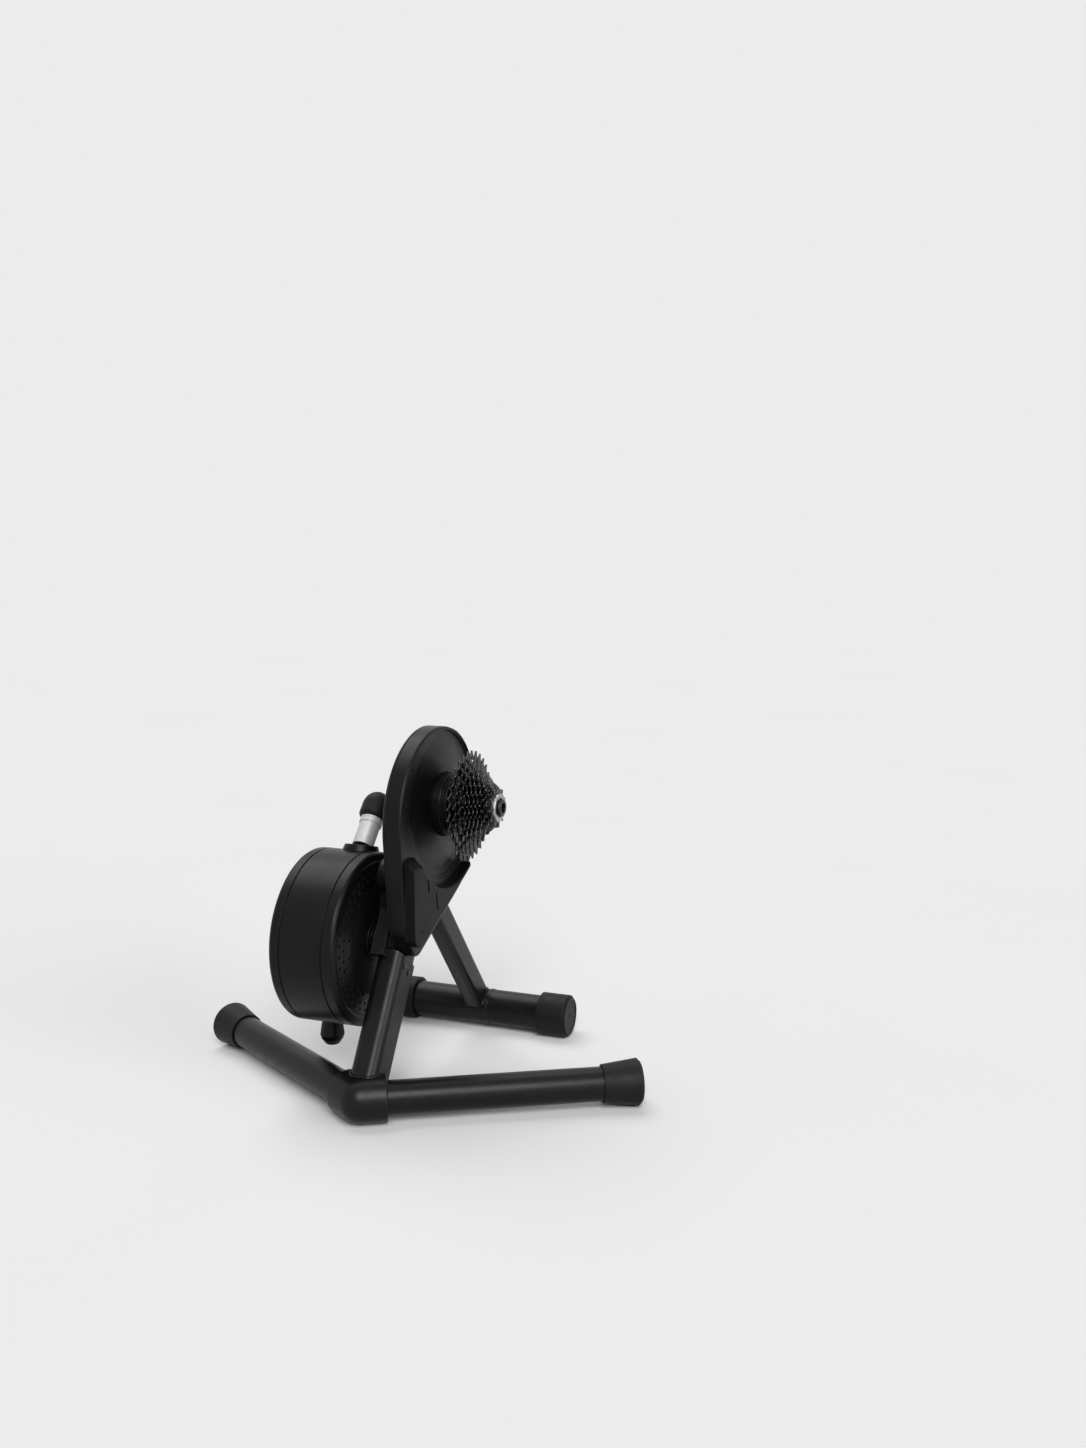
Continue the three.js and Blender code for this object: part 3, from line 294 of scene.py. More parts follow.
def rounded(profile, closed=True, steps=4):
    """A profile of (radius, along) with a rounded corner wherever a third number gives its radius."""
    points = []
    count = len(profile)
    for i, corner in enumerate(profile):
        point = Vector(corner[:2])
        rounding = corner[2] if len(corner) > 2 else 0
        if not rounding or (not closed and i in (0, count - 1)):
            points.append(point)
            continue
        before = Vector(profile[i - 1][:2]) - point
        after = Vector(profile[(i + 1) % count][:2]) - point
        half = before.angle(after) / 2
        reach = min(rounding / math.tan(half), before.length * 0.49, after.length * 0.49)
        start = point + before.normalized() * reach
        end = point + after.normalized() * reach
        centre = point + (before.normalized() + after.normalized()).normalized() * (reach / math.cos(half))
        for step in range(steps + 1):
            spoke = (start - centre).lerp(end - centre, step / steps)
            points.append(centre + spoke.normalized() * (start - centre).length)
    return points


def edge_layers(top, rounding, steps=5):
    """Insets and heights of a rounded edge that ends at the height top."""
    layers = []
    for i in range(steps + 1):
        angle = math.pi / 2 * i / steps
        layers.append((rounding * (math.cos(angle) - 1), top - rounding + rounding * math.sin(angle)))
    return layers


class Form:
    """One closed mesh made from rings of points, placed in the trainer's frame."""

    def __init__(self, place=None):
        self.mesh = bmesh.new()
        self.place = place or Matrix.Identity(4)

    def ring(self, outline, height):
        """A ring of vertices from an outline at one height."""
        return [self.mesh.verts.new(self.place @ Vector((p[0], p[1], height))) for p in outline]

    def loop(self, points):
        """A ring of vertices from points in local space."""
        return [self.mesh.verts.new(self.place @ Vector(p)) for p in points]

    def skin(self, *rings):
        """Faces between rings, one after the other. A ring of one vertex is a pole."""
        for a, b in zip(rings, rings[1:]):
            count = max(len(a), len(b))
            for i in range(count):
                j = (i + 1) % count
                if len(a) == 1:
                    self.mesh.faces.new((a[0], b[j], b[i]))
                elif len(b) == 1:
                    self.mesh.faces.new((a[i], a[j], b[0]))
                else:
                    self.mesh.faces.new((a[i], a[j], b[j], b[i]))

    def cap(self, ring):
        """One flat face over a ring."""
        self.mesh.faces.new(ring)

    def fill(self, *rings):
        """A flat region between one outer ring and the rings inside it."""
        edges = []
        for ring in rings:
            for i, vertex in enumerate(ring):
                pair = (vertex, ring[(i + 1) % len(ring)])
                edges.append(self.mesh.edges.get(pair) or self.mesh.edges.new(pair))
        bmesh.ops.triangle_fill(self.mesh, use_beauty=True, edges=edges)

    def pocket(self, outline, top, depth, lip):
        """A small blind hole in a flat face. Returns the ring at its mouth."""
        mouth = self.ring(grown(outline, lip), top)
        rings = [mouth]
        for i in range(1, 4):
            angle = math.pi / 2 * i / 3
            inset, drop = lip * (1 - math.sin(angle)), lip * (1 - math.cos(angle))
            rings.append(self.ring(grown(outline, inset), top - drop))
        rings.append(self.ring(outline, top - depth))
        self.skin(*rings)
        self.cap(rings[-1])
        return mouth

    def edged(self, outline, low, high, lip):
        """A straight side with bevels at both ends. The lip is negative on a piece's outside."""
        bevel = abs(lip)
        rings = [
            self.ring(grown(outline, lip), low), self.ring(outline, low + bevel),
            self.ring(outline, high - bevel), self.ring(grown(outline, lip), high),
        ]
        self.skin(*rings)
        return rings

    def rounds(self, profile, steps, centre=(0, 0)):
        """A round ring, or a single point, for each (radius, along) of a profile."""
        rings = []
        for radius, along in profile:
            points = [centre] if radius < POINT else circle(centre, radius, steps)
            rings.append(self.ring(points, along))
        return rings

    def turn(self, profile, steps=96, closed=True):
        """A turned body from a profile of (radius, along)."""
        rings = self.rounds(profile, steps)
        if closed and len(rings[0]) > 1 and len(rings[-1]) > 1:
            rings.append(rings[0])
        self.skin(*rings)

    def piece(self, name, body, slot, nodes=(), sharp=CORNER):
        """Makes the finished object: outward faces, smooth shading, its finish and its body."""
        bmesh.ops.remove_doubles(self.mesh, verts=self.mesh.verts, dist=1e-6)
        bmesh.ops.recalc_face_normals(self.mesh, faces=self.mesh.faces)
        mesh = bpy.data.meshes.new(name)
        self.mesh.to_mesh(mesh)
        self.mesh.free()
        mesh.shade_smooth()
        mesh.set_sharp_from_angle(angle=math.radians(sharp))
        made = bpy.data.objects.new(name, mesh)
        bpy.context.scene.collection.objects.link(made)
        made.modifiers.new("Flat faces", "WEIGHTED_NORMAL").keep_sharp = True
        mesh.materials.append(finish_of(slot))
        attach(made, body)
        if nodes:
            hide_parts(*nodes)


def turned(name, profile, place, body, slot, nodes=(), steps=96, closed=True):
    """A turned piece with rounded corners."""
    form = Form(place)
    form.turn(rounded(profile, closed), steps, closed)
    form.piece(name, body, slot, nodes)


# Finishes


def noise(tree, place, scale, detail=3, rough=0.5):
    """A noise texture in the object's own space."""
    node = tree.nodes.new("ShaderNodeTexNoise")
    node.inputs["Scale"].default_value = scale
    node.inputs["Detail"].default_value = detail
    node.inputs["Roughness"].default_value = rough
    tree.links.new(place, node.inputs["Vector"])
    return node.outputs["Fac"]


def ranged(tree, value, low, high, to_low, to_high):
    """A value moved from one range to another."""
    node = tree.nodes.new("ShaderNodeMapRange")
    for name, number in (("From Min", low), ("From Max", high), ("To Min", to_low), ("To Max", to_high)):
        node.inputs[name].default_value = number
    tree.links.new(value, node.inputs["Value"])
    return node.outputs["Result"]


def mixed(tree, factor, first, second):
    """Two colours mixed by a factor. Each is a colour or a socket."""
    node = tree.nodes.new("ShaderNodeMix")
    node.data_type = "RGBA"
    tree.links.new(factor, node.inputs["Factor"])
    inputs = [s for s in node.inputs if s.type == "RGBA"]
    for socket, value in zip(inputs, (first, second)):
        if isinstance(value, bpy.types.NodeSocket):
            tree.links.new(value, socket)
        else:
            socket.default_value = (*value, 1)
    return next(s for s in node.outputs if s.type == "RGBA")


def painted_edge_highlights(tree, radius):
    """How far the surface bends within a radius: near 0 on flats and towards 1 on edges. It is the mask for
    the painted edge highlights.
    """
    flat, bent = 0.985, 0.87
    bevel = tree.nodes.new("ShaderNodeBevel")
    bevel.samples = 6
    bevel.inputs["Radius"].default_value = radius
    geometry = tree.nodes.new("ShaderNodeNewGeometry")
    dot = tree.nodes.new("ShaderNodeVectorMath")
    dot.operation = "DOT_PRODUCT"
    tree.links.new(bevel.outputs["Normal"], dot.inputs[0])
    tree.links.new(geometry.outputs["Normal"], dot.inputs[1])
    return ranged(tree, dot.outputs["Value"], flat, bent, 0.0, 1.0)


def scaled(value, by):
    """A colour made lighter or darker."""
    return tuple(min(1.0, c * by) for c in value)


# For each slot: metal, roughness or its setting, spread of the roughness, mottle scale, grain scale,
# grain depth, width of the painted edge highlight, its gain in brightness, gloss
FINISH_ROWS = {
    "powder_coat": (0.0, "coat_roughness", 0.04, 30, 1500, 0.00004, 0.0012, 13.0, 0.20),
    "cast_black": (0.0, "coat_roughness", 0.06, 45, 1100, 0.00008, 0.0012, 6.0, 0.18),
    "moulded_black": (0.0, "plastic_roughness", 0.04, 25, 2400, 0.00003, 0.0006, 6.0, 0.17),
    "panel_black": (0.0, "plastic_roughness", 0.04, 25, 2400, 0.00003, 0.0012, 6.0, 0.07),
    "rubber": (0.0, "rubber_roughness", 0.06, 35, 1300, 0.00006, 0.0012, 5.0, 0.16),
    "silver": (0.35, 0.50, 0.06, 20, 1800, 0.00003, 0.0006, 1.2, 0.4),
    "steel": (1.0, 0.34, 0.08, 40, 1800, 0.00003, 0.0006, 1.5, 0.5),
    "dark_steel": (1.0, 0.30, 0.10, 60, 1600, 0.00005, 0.0003, 6.0, 0.5),
    "windings": (0.4, 0.45, 0.08, 80, 900, 0.00020, 0.0006, 1.3, 0.5),
    "belt": (0.0, 0.70, 0.06, 60, 1400, 0.00010, 0.0006, 1.4, 0.35),
}
made_finishes = {}


def finish_of(slot):
    """The material of a slot, made once: mottled colour, uneven gloss, fine grain and paler edges that are
    a painted highlight.
    """
    if slot in made_finishes:
        return made_finishes[slot]
    settings = bpy.context.scene.trainer_finishes
    metal, roughness, spread, mottle, grain, depth, edge, gain, gloss = FINISH_ROWS[slot]
    if isinstance(roughness, str):
        roughness = getattr(settings, roughness)
    base = tuple(getattr(settings, slot))
    material = bpy.data.materials.new(slot)
    material.use_nodes = True
    tree = material.node_tree
    shader = tree.nodes["Principled BSDF"]
    place = tree.nodes.new("ShaderNodeTexCoord").outputs["Object"]
    patches = ranged(tree, noise(tree, place, mottle, 4), 0.35, 0.65, 0, 1)
    body = mixed(tree, patches, scaled(base, 0.82), scaled(base, 1.2))
    fine = noise(tree, place, grain, 2, 0.6)
    dusted = mixed(tree, ranged(tree, fine, 0.45, 0.75, 0, 0.5), body, scaled(base, 1.6))
    # Paler edges are painted highlights: the base colour is lightened where rounded edges would catch the
    # lamps.
    edged = mixed(tree, painted_edge_highlights(tree, edge), dusted, scaled(base, gain * 1.6))
    tree.links.new(edged, shader.inputs["Base Color"])
    cloudy = noise(tree, place, mottle * 3, 5)
    uneven = ranged(tree, cloudy, 0.3, 0.7, roughness - spread, roughness + spread)
    tree.links.new(uneven, shader.inputs["Roughness"])
    shader.inputs["Metallic"].default_value = metal
    shader.inputs["Specular IOR Level"].default_value = gloss
    bump = tree.nodes.new("ShaderNodeBump")
    bump.inputs["Strength"].default_value = 0.6
    bump.inputs["Distance"].default_value = depth
    tree.links.new(fine, bump.inputs["Height"])
    tree.links.new(bump.outputs["Normal"], shader.inputs["Normal"])
    made_finishes[slot] = material
    return material


def smooth_by_angle():
    """A modifier group that shades a CAD node smooth except at its corners."""
    group = bpy.data.node_groups.get("Smooth by corner")
    if group:
        return group
    group = bpy.data.node_groups.new("Smooth by corner", "GeometryNodeTree")
    group.interface.new_socket("Geometry", in_out="INPUT", socket_type="NodeSocketGeometry")
    group.interface.new_socket("Geometry", in_out="OUTPUT", socket_type="NodeSocketGeometry")
    source = group.nodes.new("NodeGroupInput")
    target = group.nodes.new("NodeGroupOutput")
    merge = group.nodes.new("GeometryNodeMergeByDistance")
    merge.inputs["Distance"].default_value = 1e-5
    angle = group.nodes.new("GeometryNodeInputMeshEdgeAngle")
    compare = group.nodes.new("FunctionNodeCompare")
    compare.data_type = "FLOAT"
    compare.operation = "LESS_EQUAL"
    compare.inputs["B"].default_value = math.radians(CORNER)
    faces = group.nodes.new("GeometryNodeSetShadeSmooth")
    faces.domain = "FACE"
    edges = group.nodes.new("GeometryNodeSetShadeSmooth")
    edges.domain = "EDGE"
    links = group.links
    links.new(source.outputs[0], merge.inputs["Geometry"])
    links.new(merge.outputs["Geometry"], faces.inputs["Geometry"])
    links.new(faces.outputs["Geometry"], edges.inputs["Geometry"])
    links.new(angle.outputs["Unsigned Angle"], compare.inputs["A"])
    links.new(compare.outputs["Result"], edges.inputs["Shade Smooth"])
    links.new(edges.outputs["Geometry"], target.inputs[0])
    return group


class TRAINER_OT_carried_pieces(bpy.types.Operator):
    """Gives every CAD piece its finish and smooth shading"""

    bl_idname = "trainer.carried_pieces"
    bl_label = "Finish the CAD pieces"

    def execute(self, context):
        slots = {row["node"]: row["material_slot"] for row in frame["record"]["subparts"]}
        for name, made in NODES.items():
            slot = slots.get(name)
            if slot is None:
                raise RuntimeError(f"CAD piece {name} has no material slot")
            made.data.materials.clear()
            made.data.materials.append(finish_of(slot))
            made.modifiers.new("Smooth", "NODES").node_group = smooth_by_angle()
            if slot == "cast_black":
                soften = made.modifiers.new("Cast edges", "BEVEL")
                soften.width, soften.segments, soften.limit_method = 0.0012, 2, "ANGLE"
                soften.angle_limit = math.radians(40)
                soften.harden_normals = True
        return {"FINISHED"}


class TRAINER_OT_belt_cover(bpy.types.Operator):
    """Builds the belt cover: its shell with the dished recess, the raised panel and the back plate"""

    bl_idname = "trainer.belt_cover"
    bl_label = "Build the belt cover"

    def execute(self, context):
        sizes = context.scene.trainer_sizes
        self.shell(sizes)
        self.panel(sizes)
        self.back_plate()
        return {"FINISHED"}

    def shell(self, sizes):
        """The outer shell: open at the back, with a dished round recess in its face."""
        back = span("belt_cover_shell")[0]
        face = COVER_FACE
        floor = face - RECESS_DEPTH
        raised = floor + DISH_RISE
        axle = (0, AXLE_HEIGHT)
        form = Form(SIDE_ON)
        bevel = 0.0006
        layers = [(-bevel, back), (0, back + bevel), *edge_layers(face, sizes.cover_edge)]
        outer = [form.ring(cover_outline(inset), height) for inset, height in layers]
        form.skin(*outer)
        dish = rounded((
            (RECESS_RADIUS + 0.0012, face),
            (RECESS_RADIUS, face, 0.0011),
            (RECESS_RADIUS, floor, 0.0012),
            (DISH_RADIUS, floor, 0.02),
            (DISH_INNER, raised, 0.03),
            (HUB_OPENING, raised, sizes.lip),
            (HUB_OPENING, raised - COVER_WALL),
            (DISH_INNER, raised - COVER_WALL),
            (DISH_RADIUS, floor - COVER_WALL),
        ), closed=False)
        rings = form.rounds(dish, 128, axle)
        form.skin(*rings)
        hole = form.pocket(circle(RIM_SCREW, SCREW_HOLE, 24), face, 0.003, sizes.lip / 2)
        notch = slot_outline((-0.0815, AXLE_HEIGHT + 0.051), 0.010, 58, 0.0012)
        form.fill(outer[-1], rings[0], hole, form.pocket(notch, face, 0.0012, 0.0003))
        inner = [form.ring(cover_outline(-COVER_WALL), height) for height in (floor - COVER_WALL, back)]
        form.fill(inner[0], rings[-1])
        form.skin(*inner, outer[0])
        form.piece("cover_shell", "frame", "moulded_black", ["belt_cover_shell"])

    def panel(self, sizes):
        """The raised panel. The end of its finger slopes down to the cover."""
        base = COVER_FACE + SEAT_GAP
        top = span("belt_cover_panel")[1]
        fold = PANEL_TOP - 0.013
        outline = panel_outline(fold)
        form = Form(SIDE_ON)

        def layer(inset, height):
            """One ring of the panel's rounded edge, lower along the finger."""
            points = []
            for point in grown(outline, inset):
                drop = max(0.0, point.y - fold) * PANEL_SLOPE
                points.append((point.x, point.y, max(base + 0.0004, height - drop)))
            return form.loop(points)

        rings = [form.ring(outline, base)]
        rings += [layer(inset, height) for inset, height in edge_layers(top, sizes.panel_edge)]
        form.skin(*rings)
        form.cap(rings[0])
        holes = [
            form.pocket(slot_outline((-0.070, AXLE_HEIGHT - 0.093), 0.014, 8), top, 0.003, 0.0004),
            form.pocket(slot_outline((-0.046, AXLE_HEIGHT - 0.120), 0.020, 10, 0.0028), top, 0.003, 0.0004),
            form.pocket(circle(PANEL_TIP, SCREW_HOLE, 24), top, 0.003, 0.0004),
            form.pocket(circle((-0.0925, 0.2795), 0.0011, 12), top, 0.002, 0.0002),
            form.pocket(circle((-0.0915, 0.2745), 0.0008, 12), top, 0.002, 0.0002),
        ]
        crown = rings[-1]
        flat = [i for i, p in enumerate(grown(outline, -sizes.panel_edge)) if p.y < fold + 1e-5]
        first, last = flat[0], flat[-1]
        form.fill(crown[first:last + 1], *holes)
        form.fill(crown[last:] + crown[:first + 1])
        form.piece("cover_panel", "frame", "panel_black", ["belt_cover_panel"])
        screw("panel_screw", PANEL_TIP, top)
        screw("rim_screw", RIM_SCREW, COVER_FACE)

    def back_plate(self):
        """The plate that closes the cover, with bores for the axle and the flywheel's shaft."""
        back, front = span("belt_cover_back_plate")
        form = Form(SIDE_ON)
        layers = ((-0.0012, back), (0, back + 0.0012), (0, front - 0.0005), (-0.0005, front))
        outer = [form.ring(cover_outline(inset), height) for inset, height in layers]
        form.skin(*outer)
        bores = []
        for centre, radius in (((0, AXLE_HEIGHT), 0.0115), ((SHAFT_FORWARD, SHAFT_HEIGHT), 0.0065)):
            rows = ((radius + 0.0005, back), (radius, back + 0.0005), (radius, front))
            bores.append(form.rounds(rows, 48, centre))
            form.skin(*bores[-1])
        form.fill(outer[0], *[rings[0] for rings in bores])
        form.fill(outer[-1], *[rings[-1] for rings in bores])
        form.piece("cover_back_plate", "frame", "moulded_black", ["belt_cover_back_plate"])


def screw(name, centre, face):
    """A small socket screw, set just below a face that looks to the chain side."""
    turned(name, (
        (0, face - 0.0028), (0.0021, face - 0.0028), (0.0021, face - 0.0007, 0.0004),
        (0.0012, face - 0.0007, 0.0002), (0.0009, face - 0.0018), (0, face - 0.0018),
    ), Matrix.Translation((0, centre.x, centre.y)) @ SIDE_ON, "frame", "dark_steel", steps=24, closed=False)


def panel_outline(fold):
    """The raised panel: a finger up the cover's rear edge and a rib that thins out towards the front."""
    centre, inner, outer, end = Vector((-0.003, AXLE_HEIGHT - 0.005)), 0.097, 0.1045, 0.054
    tip_radius, corner = 0.0185, 0.010
    start_angle = 180 - math.degrees(math.asin((PANEL_TOP - centre.y) / inner))
    fold_angle = 180 - math.degrees(math.asin((fold - centre.y) / inner))
    end_angle = 360 - math.degrees(math.acos((end - centre.x) / inner))
    rib_angle = 360 - math.degrees(math.acos(end / outer))
    reach = PANEL_TIP - Vector((0, AXLE_HEIGHT))
    spread = math.degrees(math.acos((outer - tip_radius) / reach.length))
    edge_angle = math.degrees(math.atan2(reach.y, reach.x)) % 360 + spread
    left = PANEL_TIP.x - tip_radius
    points = arc((left + corner, PANEL_TOP - corner), corner, 90, 180, 12)
    points.append(Vector((left, fold)))
    points += arc(PANEL_TIP, tip_radius, 180, edge_angle, 28)
    points += arc((0, AXLE_HEIGHT), outer, edge_angle, rib_angle, 6)
    points += arc(centre, inner, end_angle, fold_angle, 56)
    points += arc(centre, inner, fold_angle, start_angle, 8)[1:]
    return points


def slot_outline(foot, length, lean, width=0.0034):
    """A slot with round ends, leaning back from upright."""
    points = arc((0, length), width / 2, 0, 180, 8) + arc((0, 0), width / 2, 180, 360, 8)
    turn = Matrix.Rotation(math.radians(lean), 2)
    return [turn @ p + Vector(foot) for p in points]


class TRAINER_OT_housing(bpy.types.Operator):
    """Builds the flywheel drum: its wall and its two covers"""

    bl_idname = "trainer.housing"
    bl_label = "Build the drum"

    def execute(self, context):
        sizes = context.scene.trainer_sizes
        left, right = span("housing_shell")
        turned("drum_wall", (
            (DRUM_BORE, left), *self.groove(left, sizes.seam),
            *reversed(self.groove(right, -sizes.seam)), (DRUM_BORE, right),
        ), ON_SHAFT, "frame", "moulded_black", ["housing_shell"], steps=160)
        self.left_cover(sizes)
        self.right_cover(sizes)
        return {"FINISHED"}

    def groove(self, end, seam):
        """The stepped edge where a drum piece meets the next. The seam is negative at a right end."""
        low = DRUM_RADIUS - 2 * abs(seam)
        return (low, end), (low, end + seam), (DRUM_RADIUS, end + seam, 0.0003)

    def left_cover(self, sizes):
        """The left cover: a disc with a rounded rim, a hollow in its middle and a bearing seat inside."""
        left, right = span("housing_left_cover")
        inside = left + 0.003
        seat_end = inside + 0.0083
        turned("drum_left_cover", (
            (0, left + 0.0012), (0.022, left + 0.0012, 0.001), (0.0235, left, 0.0008),
            (DRUM_RADIUS - 0.006, left, 0.005), (DRUM_RADIUS, left + 0.004, 0.005),
            *reversed(self.groove(right, -sizes.seam)), (DRUM_BORE, right), (DRUM_BORE, inside),
            (0.0163, inside), (0.0163, seat_end), (0.0133, seat_end), (0.0133, inside + SEAT_GAP),
            (0, inside + SEAT_GAP),
        ), ON_SHAFT, "frame", "moulded_black", ["housing_left_cover"], steps=160, closed=False)

    def right_cover(self, sizes):
        """The right cover: a rolled rim, a slightly domed disc with rings of vents, and a stepped hub."""
        left = span("housing_shell")[1] + SEAT_GAP
        hub_face = span("housing_right_cover")[1]
        front = DRUM_FRONT
        plane = front - 0.0015
        inside = plane - 0.003
        step = (hub_face - plane) / 3
        opening = 0.0085
        outer = rounded((
            (DRUM_BORE, left), *self.groove(left, sizes.seam),
            (DRUM_RADIUS, front, 0.0085), (0.0950, front, 0.0012), (0.0915, plane, 0.003), (0.0885, plane),
        ), closed=False, steps=8)
        hub = rounded((
            (0.0300, plane), (0.027, plane, 0.0008), (0.027, plane + step, sizes.lip),
            (0.0215, plane + step, 0.0006), (0.0215, plane + 2 * step, sizes.lip),
            (0.016, plane + 2 * step, 0.0006), (0.016, hub_face, sizes.lip),
            (opening, hub_face), (opening, inside),
        ), closed=False)
        form = Form(ON_SHAFT)
        rim = form.rounds(outer, 160)
        boss = form.rounds(hub, 96)
        back_rim = form.ring(circle((0, 0), DRUM_BORE, 160), inside)
        form.skin(*rim)
        form.skin(*boss)
        mouths, backs = [], []
        vent = sizes.vent_radius
        for radius, count, shift in VENT_RINGS:
            for i in range(count):
                angle = math.tau * (i + shift) / count
                centre = (radius * math.cos(angle), radius * math.sin(angle))
                rows = ((vent + VENT_LIP, plane), (vent, plane - VENT_LIP), (vent, inside))
                rings = form.rounds(rows, 12, centre)
                form.skin(*rings)
                mouths.append(rings[0])
                backs.append(rings[-1])
        form.fill(rim[-1], boss[0], *mouths)
        self.dome(form, plane, hub_face)
        form.fill(back_rim, boss[-1], *backs)
        form.skin(back_rim, rim[0])
        form.piece("drum_right_cover", "frame", "moulded_black", ["housing_right_cover"])

    def dome(self, form, plane, hub_face):
        """Lifts the disc towards its middle. The hub's end stays where it is."""
        centre = Vector((SHAFT_FORWARD, SHAFT_HEIGHT))
        for vertex in form.mesh.verts:
            distance = (Vector(vertex.co.yz) - centre).length
            if vertex.co.x > plane - 2 * VENT_LIP and distance < DOME["edge"]:
                inward = min(1.0, (DOME["edge"] - distance) / (DOME["edge"] - DOME["crown"]))
                below_end = 1 - max(0.0, vertex.co.x - plane) / (hub_face - plane)
                vertex.co.x += inward * DOME["rise"] * below_end


class TRAINER_OT_handle(bpy.types.Operator):
    """Builds the carry handle on the drum: collar, post, band and grip"""

    bl_idname = "trainer.handle"
    bl_label = "Build the carry handle"

    def execute(self, context):
        foot = Vector((
            DRUM_FRONT - HANDLE_FROM_RIGHT,
            SHAFT_FORWARD + HANDLE_FORWARD,
            SHAFT_HEIGHT + math.sqrt(DRUM_RADIUS**2 - HANDLE_FORWARD**2),
        ))
        place = Matrix.Translation(foot) @ Matrix.Rotation(-HANDLE_LEAN, 4, "X")
        level = Matrix.Translation(foot) @ Matrix.Rotation(-math.asin(HANDLE_FORWARD / DRUM_RADIUS), 4, "X")
        self.collar(level, DRUM_RADIUS + SEAT_GAP)
        turned("carry_post", (
            (0.011, 0.0052), (0.013, 0.0052, 0.0004), (0.013, 0.052, 0.0004), (0.011, 0.052, 0.0002),
        ), place, "frame", "silver", ["handle_post"])
        turned("carry_band", (
            (0.0133, 0.036), (0.0142, 0.036, 0.0004), (0.0142, 0.0395, 0.0003), (0.0139, 0.0399, 0.0003),
            (0.0142, 0.0403, 0.0003), (0.0142, 0.0437, 0.0004), (0.0133, 0.0437),
        ), place, "frame", "silver", ["handle_band"])
        quarter = [math.pi / 2 * i / 12 for i in range(12)]
        crown = [(0.018 * math.cos(a), 0.062 + 0.020 * math.sin(a)) for a in quarter]
        turned("carry_grip", (
            (0, 0.0523), (0.0133, 0.0523), (0.0133, 0.044), (0.0150, 0.044, 0.0010), (0.018, 0.0475, 0.004),
            *crown, (0, 0.082),
        ), place, "frame", "rubber", ["handle_grip"], closed=False)
        return {"FINISHED"}

    def collar(self, place, drum_radius):
        """A low flared plate. Its foot follows the drum's round wall."""
        profile = rounded(((0.0222, 0.0008), (0.0205, 0.0062, 0.0012), (0.0, 0.0062)), closed=False)[:-1]
        form = Form()
        steps = 96
        rings = [form.loop([on_drum(place, x, y, drum_radius) for x, y in circle((0, 0), 0.0225, steps)])]
        for radius, along in profile:
            points = circle((0, 0), radius, steps)
            rings.append(form.loop([place @ Vector((x, y, along)) for x, y in points]))
        form.skin(*rings)
        form.cap(rings[-1])
        under = form.loop([on_drum(place, x, y, drum_radius) for x, y in circle((0, 0), 0.010, steps)])
        pole = form.loop([on_drum(place, 0, 0, drum_radius)])
        form.skin(rings[0], under, pole)
        form.piece("carry_collar", "frame", "moulded_black", ["handle_collar"])


def on_drum(place, x, y, drum_radius):
    """Where a line along the handle's axis meets the drum's wall."""
    start = place @ Vector((x, y, 0.02)) - Vector((0, SHAFT_FORWARD, SHAFT_HEIGHT))
    along = (place.to_3x3() @ Vector((0, 0, -1))).normalized()
    a = along.y**2 + along.z**2
    b = 2 * (start.y * along.y + start.z * along.z)
    c = start.y**2 + start.z**2 - drum_radius**2
    reach = (-b - math.sqrt(max(b * b - 4 * a * c, 0))) / (2 * a)
    return start + along * reach + Vector((0, SHAFT_FORWARD, SHAFT_HEIGHT))


class TRAINER_OT_inlet(bpy.types.Operator):
    """Builds the power inlet under the drum"""

    bl_idname = "trainer.inlet"
    bl_label = "Build the power inlet"

    def execute(self, context):
        low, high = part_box("power_inlet")
        centre = (low + high) / 2
        radius = DRUM_RADIUS + SEAT_GAP
        form = Form(Matrix.Translation((centre.x, SHAFT_FORWARD, low.z)))
        steps, neck = 64, 0.0125
        profile = rounded((
            (0.0040, 0.010), (0.0040, 0.0, 0.0006), (0.0085, 0.0, 0.0015), (0.0135, 0.007, 0.002),
            (0.015, 0.012, 0.0015), (0.0135, 0.022, 0.002), (neck, 0.028),
        ), closed=False)
        rings = form.rounds(profile, steps)
        top = []
        for x, y in circle((0, 0), neck, steps):
            drop = SHAFT_HEIGHT - math.sqrt(radius**2 - y**2)
            top.append((x, y, drop - low.z))
        rings.append(form.loop(top))
        form.skin(*rings)
        form.cap(rings[0])
        form.cap(rings[-1])
        form.piece("inlet_body", "frame", "moulded_black", ["power_inlet"])
        return {"FINISHED"}


def strut_lines(strut, inset=0.0):
    """The corner-rounded section of a strut, as lines in the side view: each gives start and direction."""
    heading = (strut["top"] - strut["base"]).normalized()
    along = Vector((0, *heading))
    across = Vector((0, heading.y, -heading.x))
    base = Vector((0, *strut["base"]))
    depth, width, corner = strut["depth"] - 2 * inset, strut["width"] - 2 * inset, strut["corner"] - inset
    section = rounded_box(depth, width, corner, 14)
    return [(base + across * a + Vector((1, 0, 0)) * b, along) for a, b in section]


def reach_where(test, start, along, low, high, last=False):
    """The place along a line where a test turns, from low to high in fine steps."""
    steps = 240
    found = None
    before = test(start + along * low)
    for i in range(1, steps + 1):
        reach = low + (high - low) * i / steps
        now = test(start + along * reach)
        if now != before:
            near, far = reach - (high - low) / steps, reach
            for _ in range(12):
                half = (near + far) / 2
                if test(start + along * half) == before:
                    near = half
                else:
                    far = half
            found = (near + far) / 2
            if not last:
                return found
        before = now
    return found


def inside_cover(point, steps=90):
    """Whether a point is inside the belt cover's outline, grown by the strut's gap."""
    for i in range(steps):
        normal = polar(1, math.tau * i / steps)
        reach = max(normal.dot(Vector(c[:2])) + c[2] for c in COVER_CIRCLES)
        if normal.x * point.y + normal.y * point.z > reach + STRUT_GAP:
            return False
    return True


def leg_along(side):
    """The direction of a rear leg: 1 is the chain side."""
    return Vector((side * math.cos(LEG_SWEEP), math.sin(LEG_SWEEP), 0))


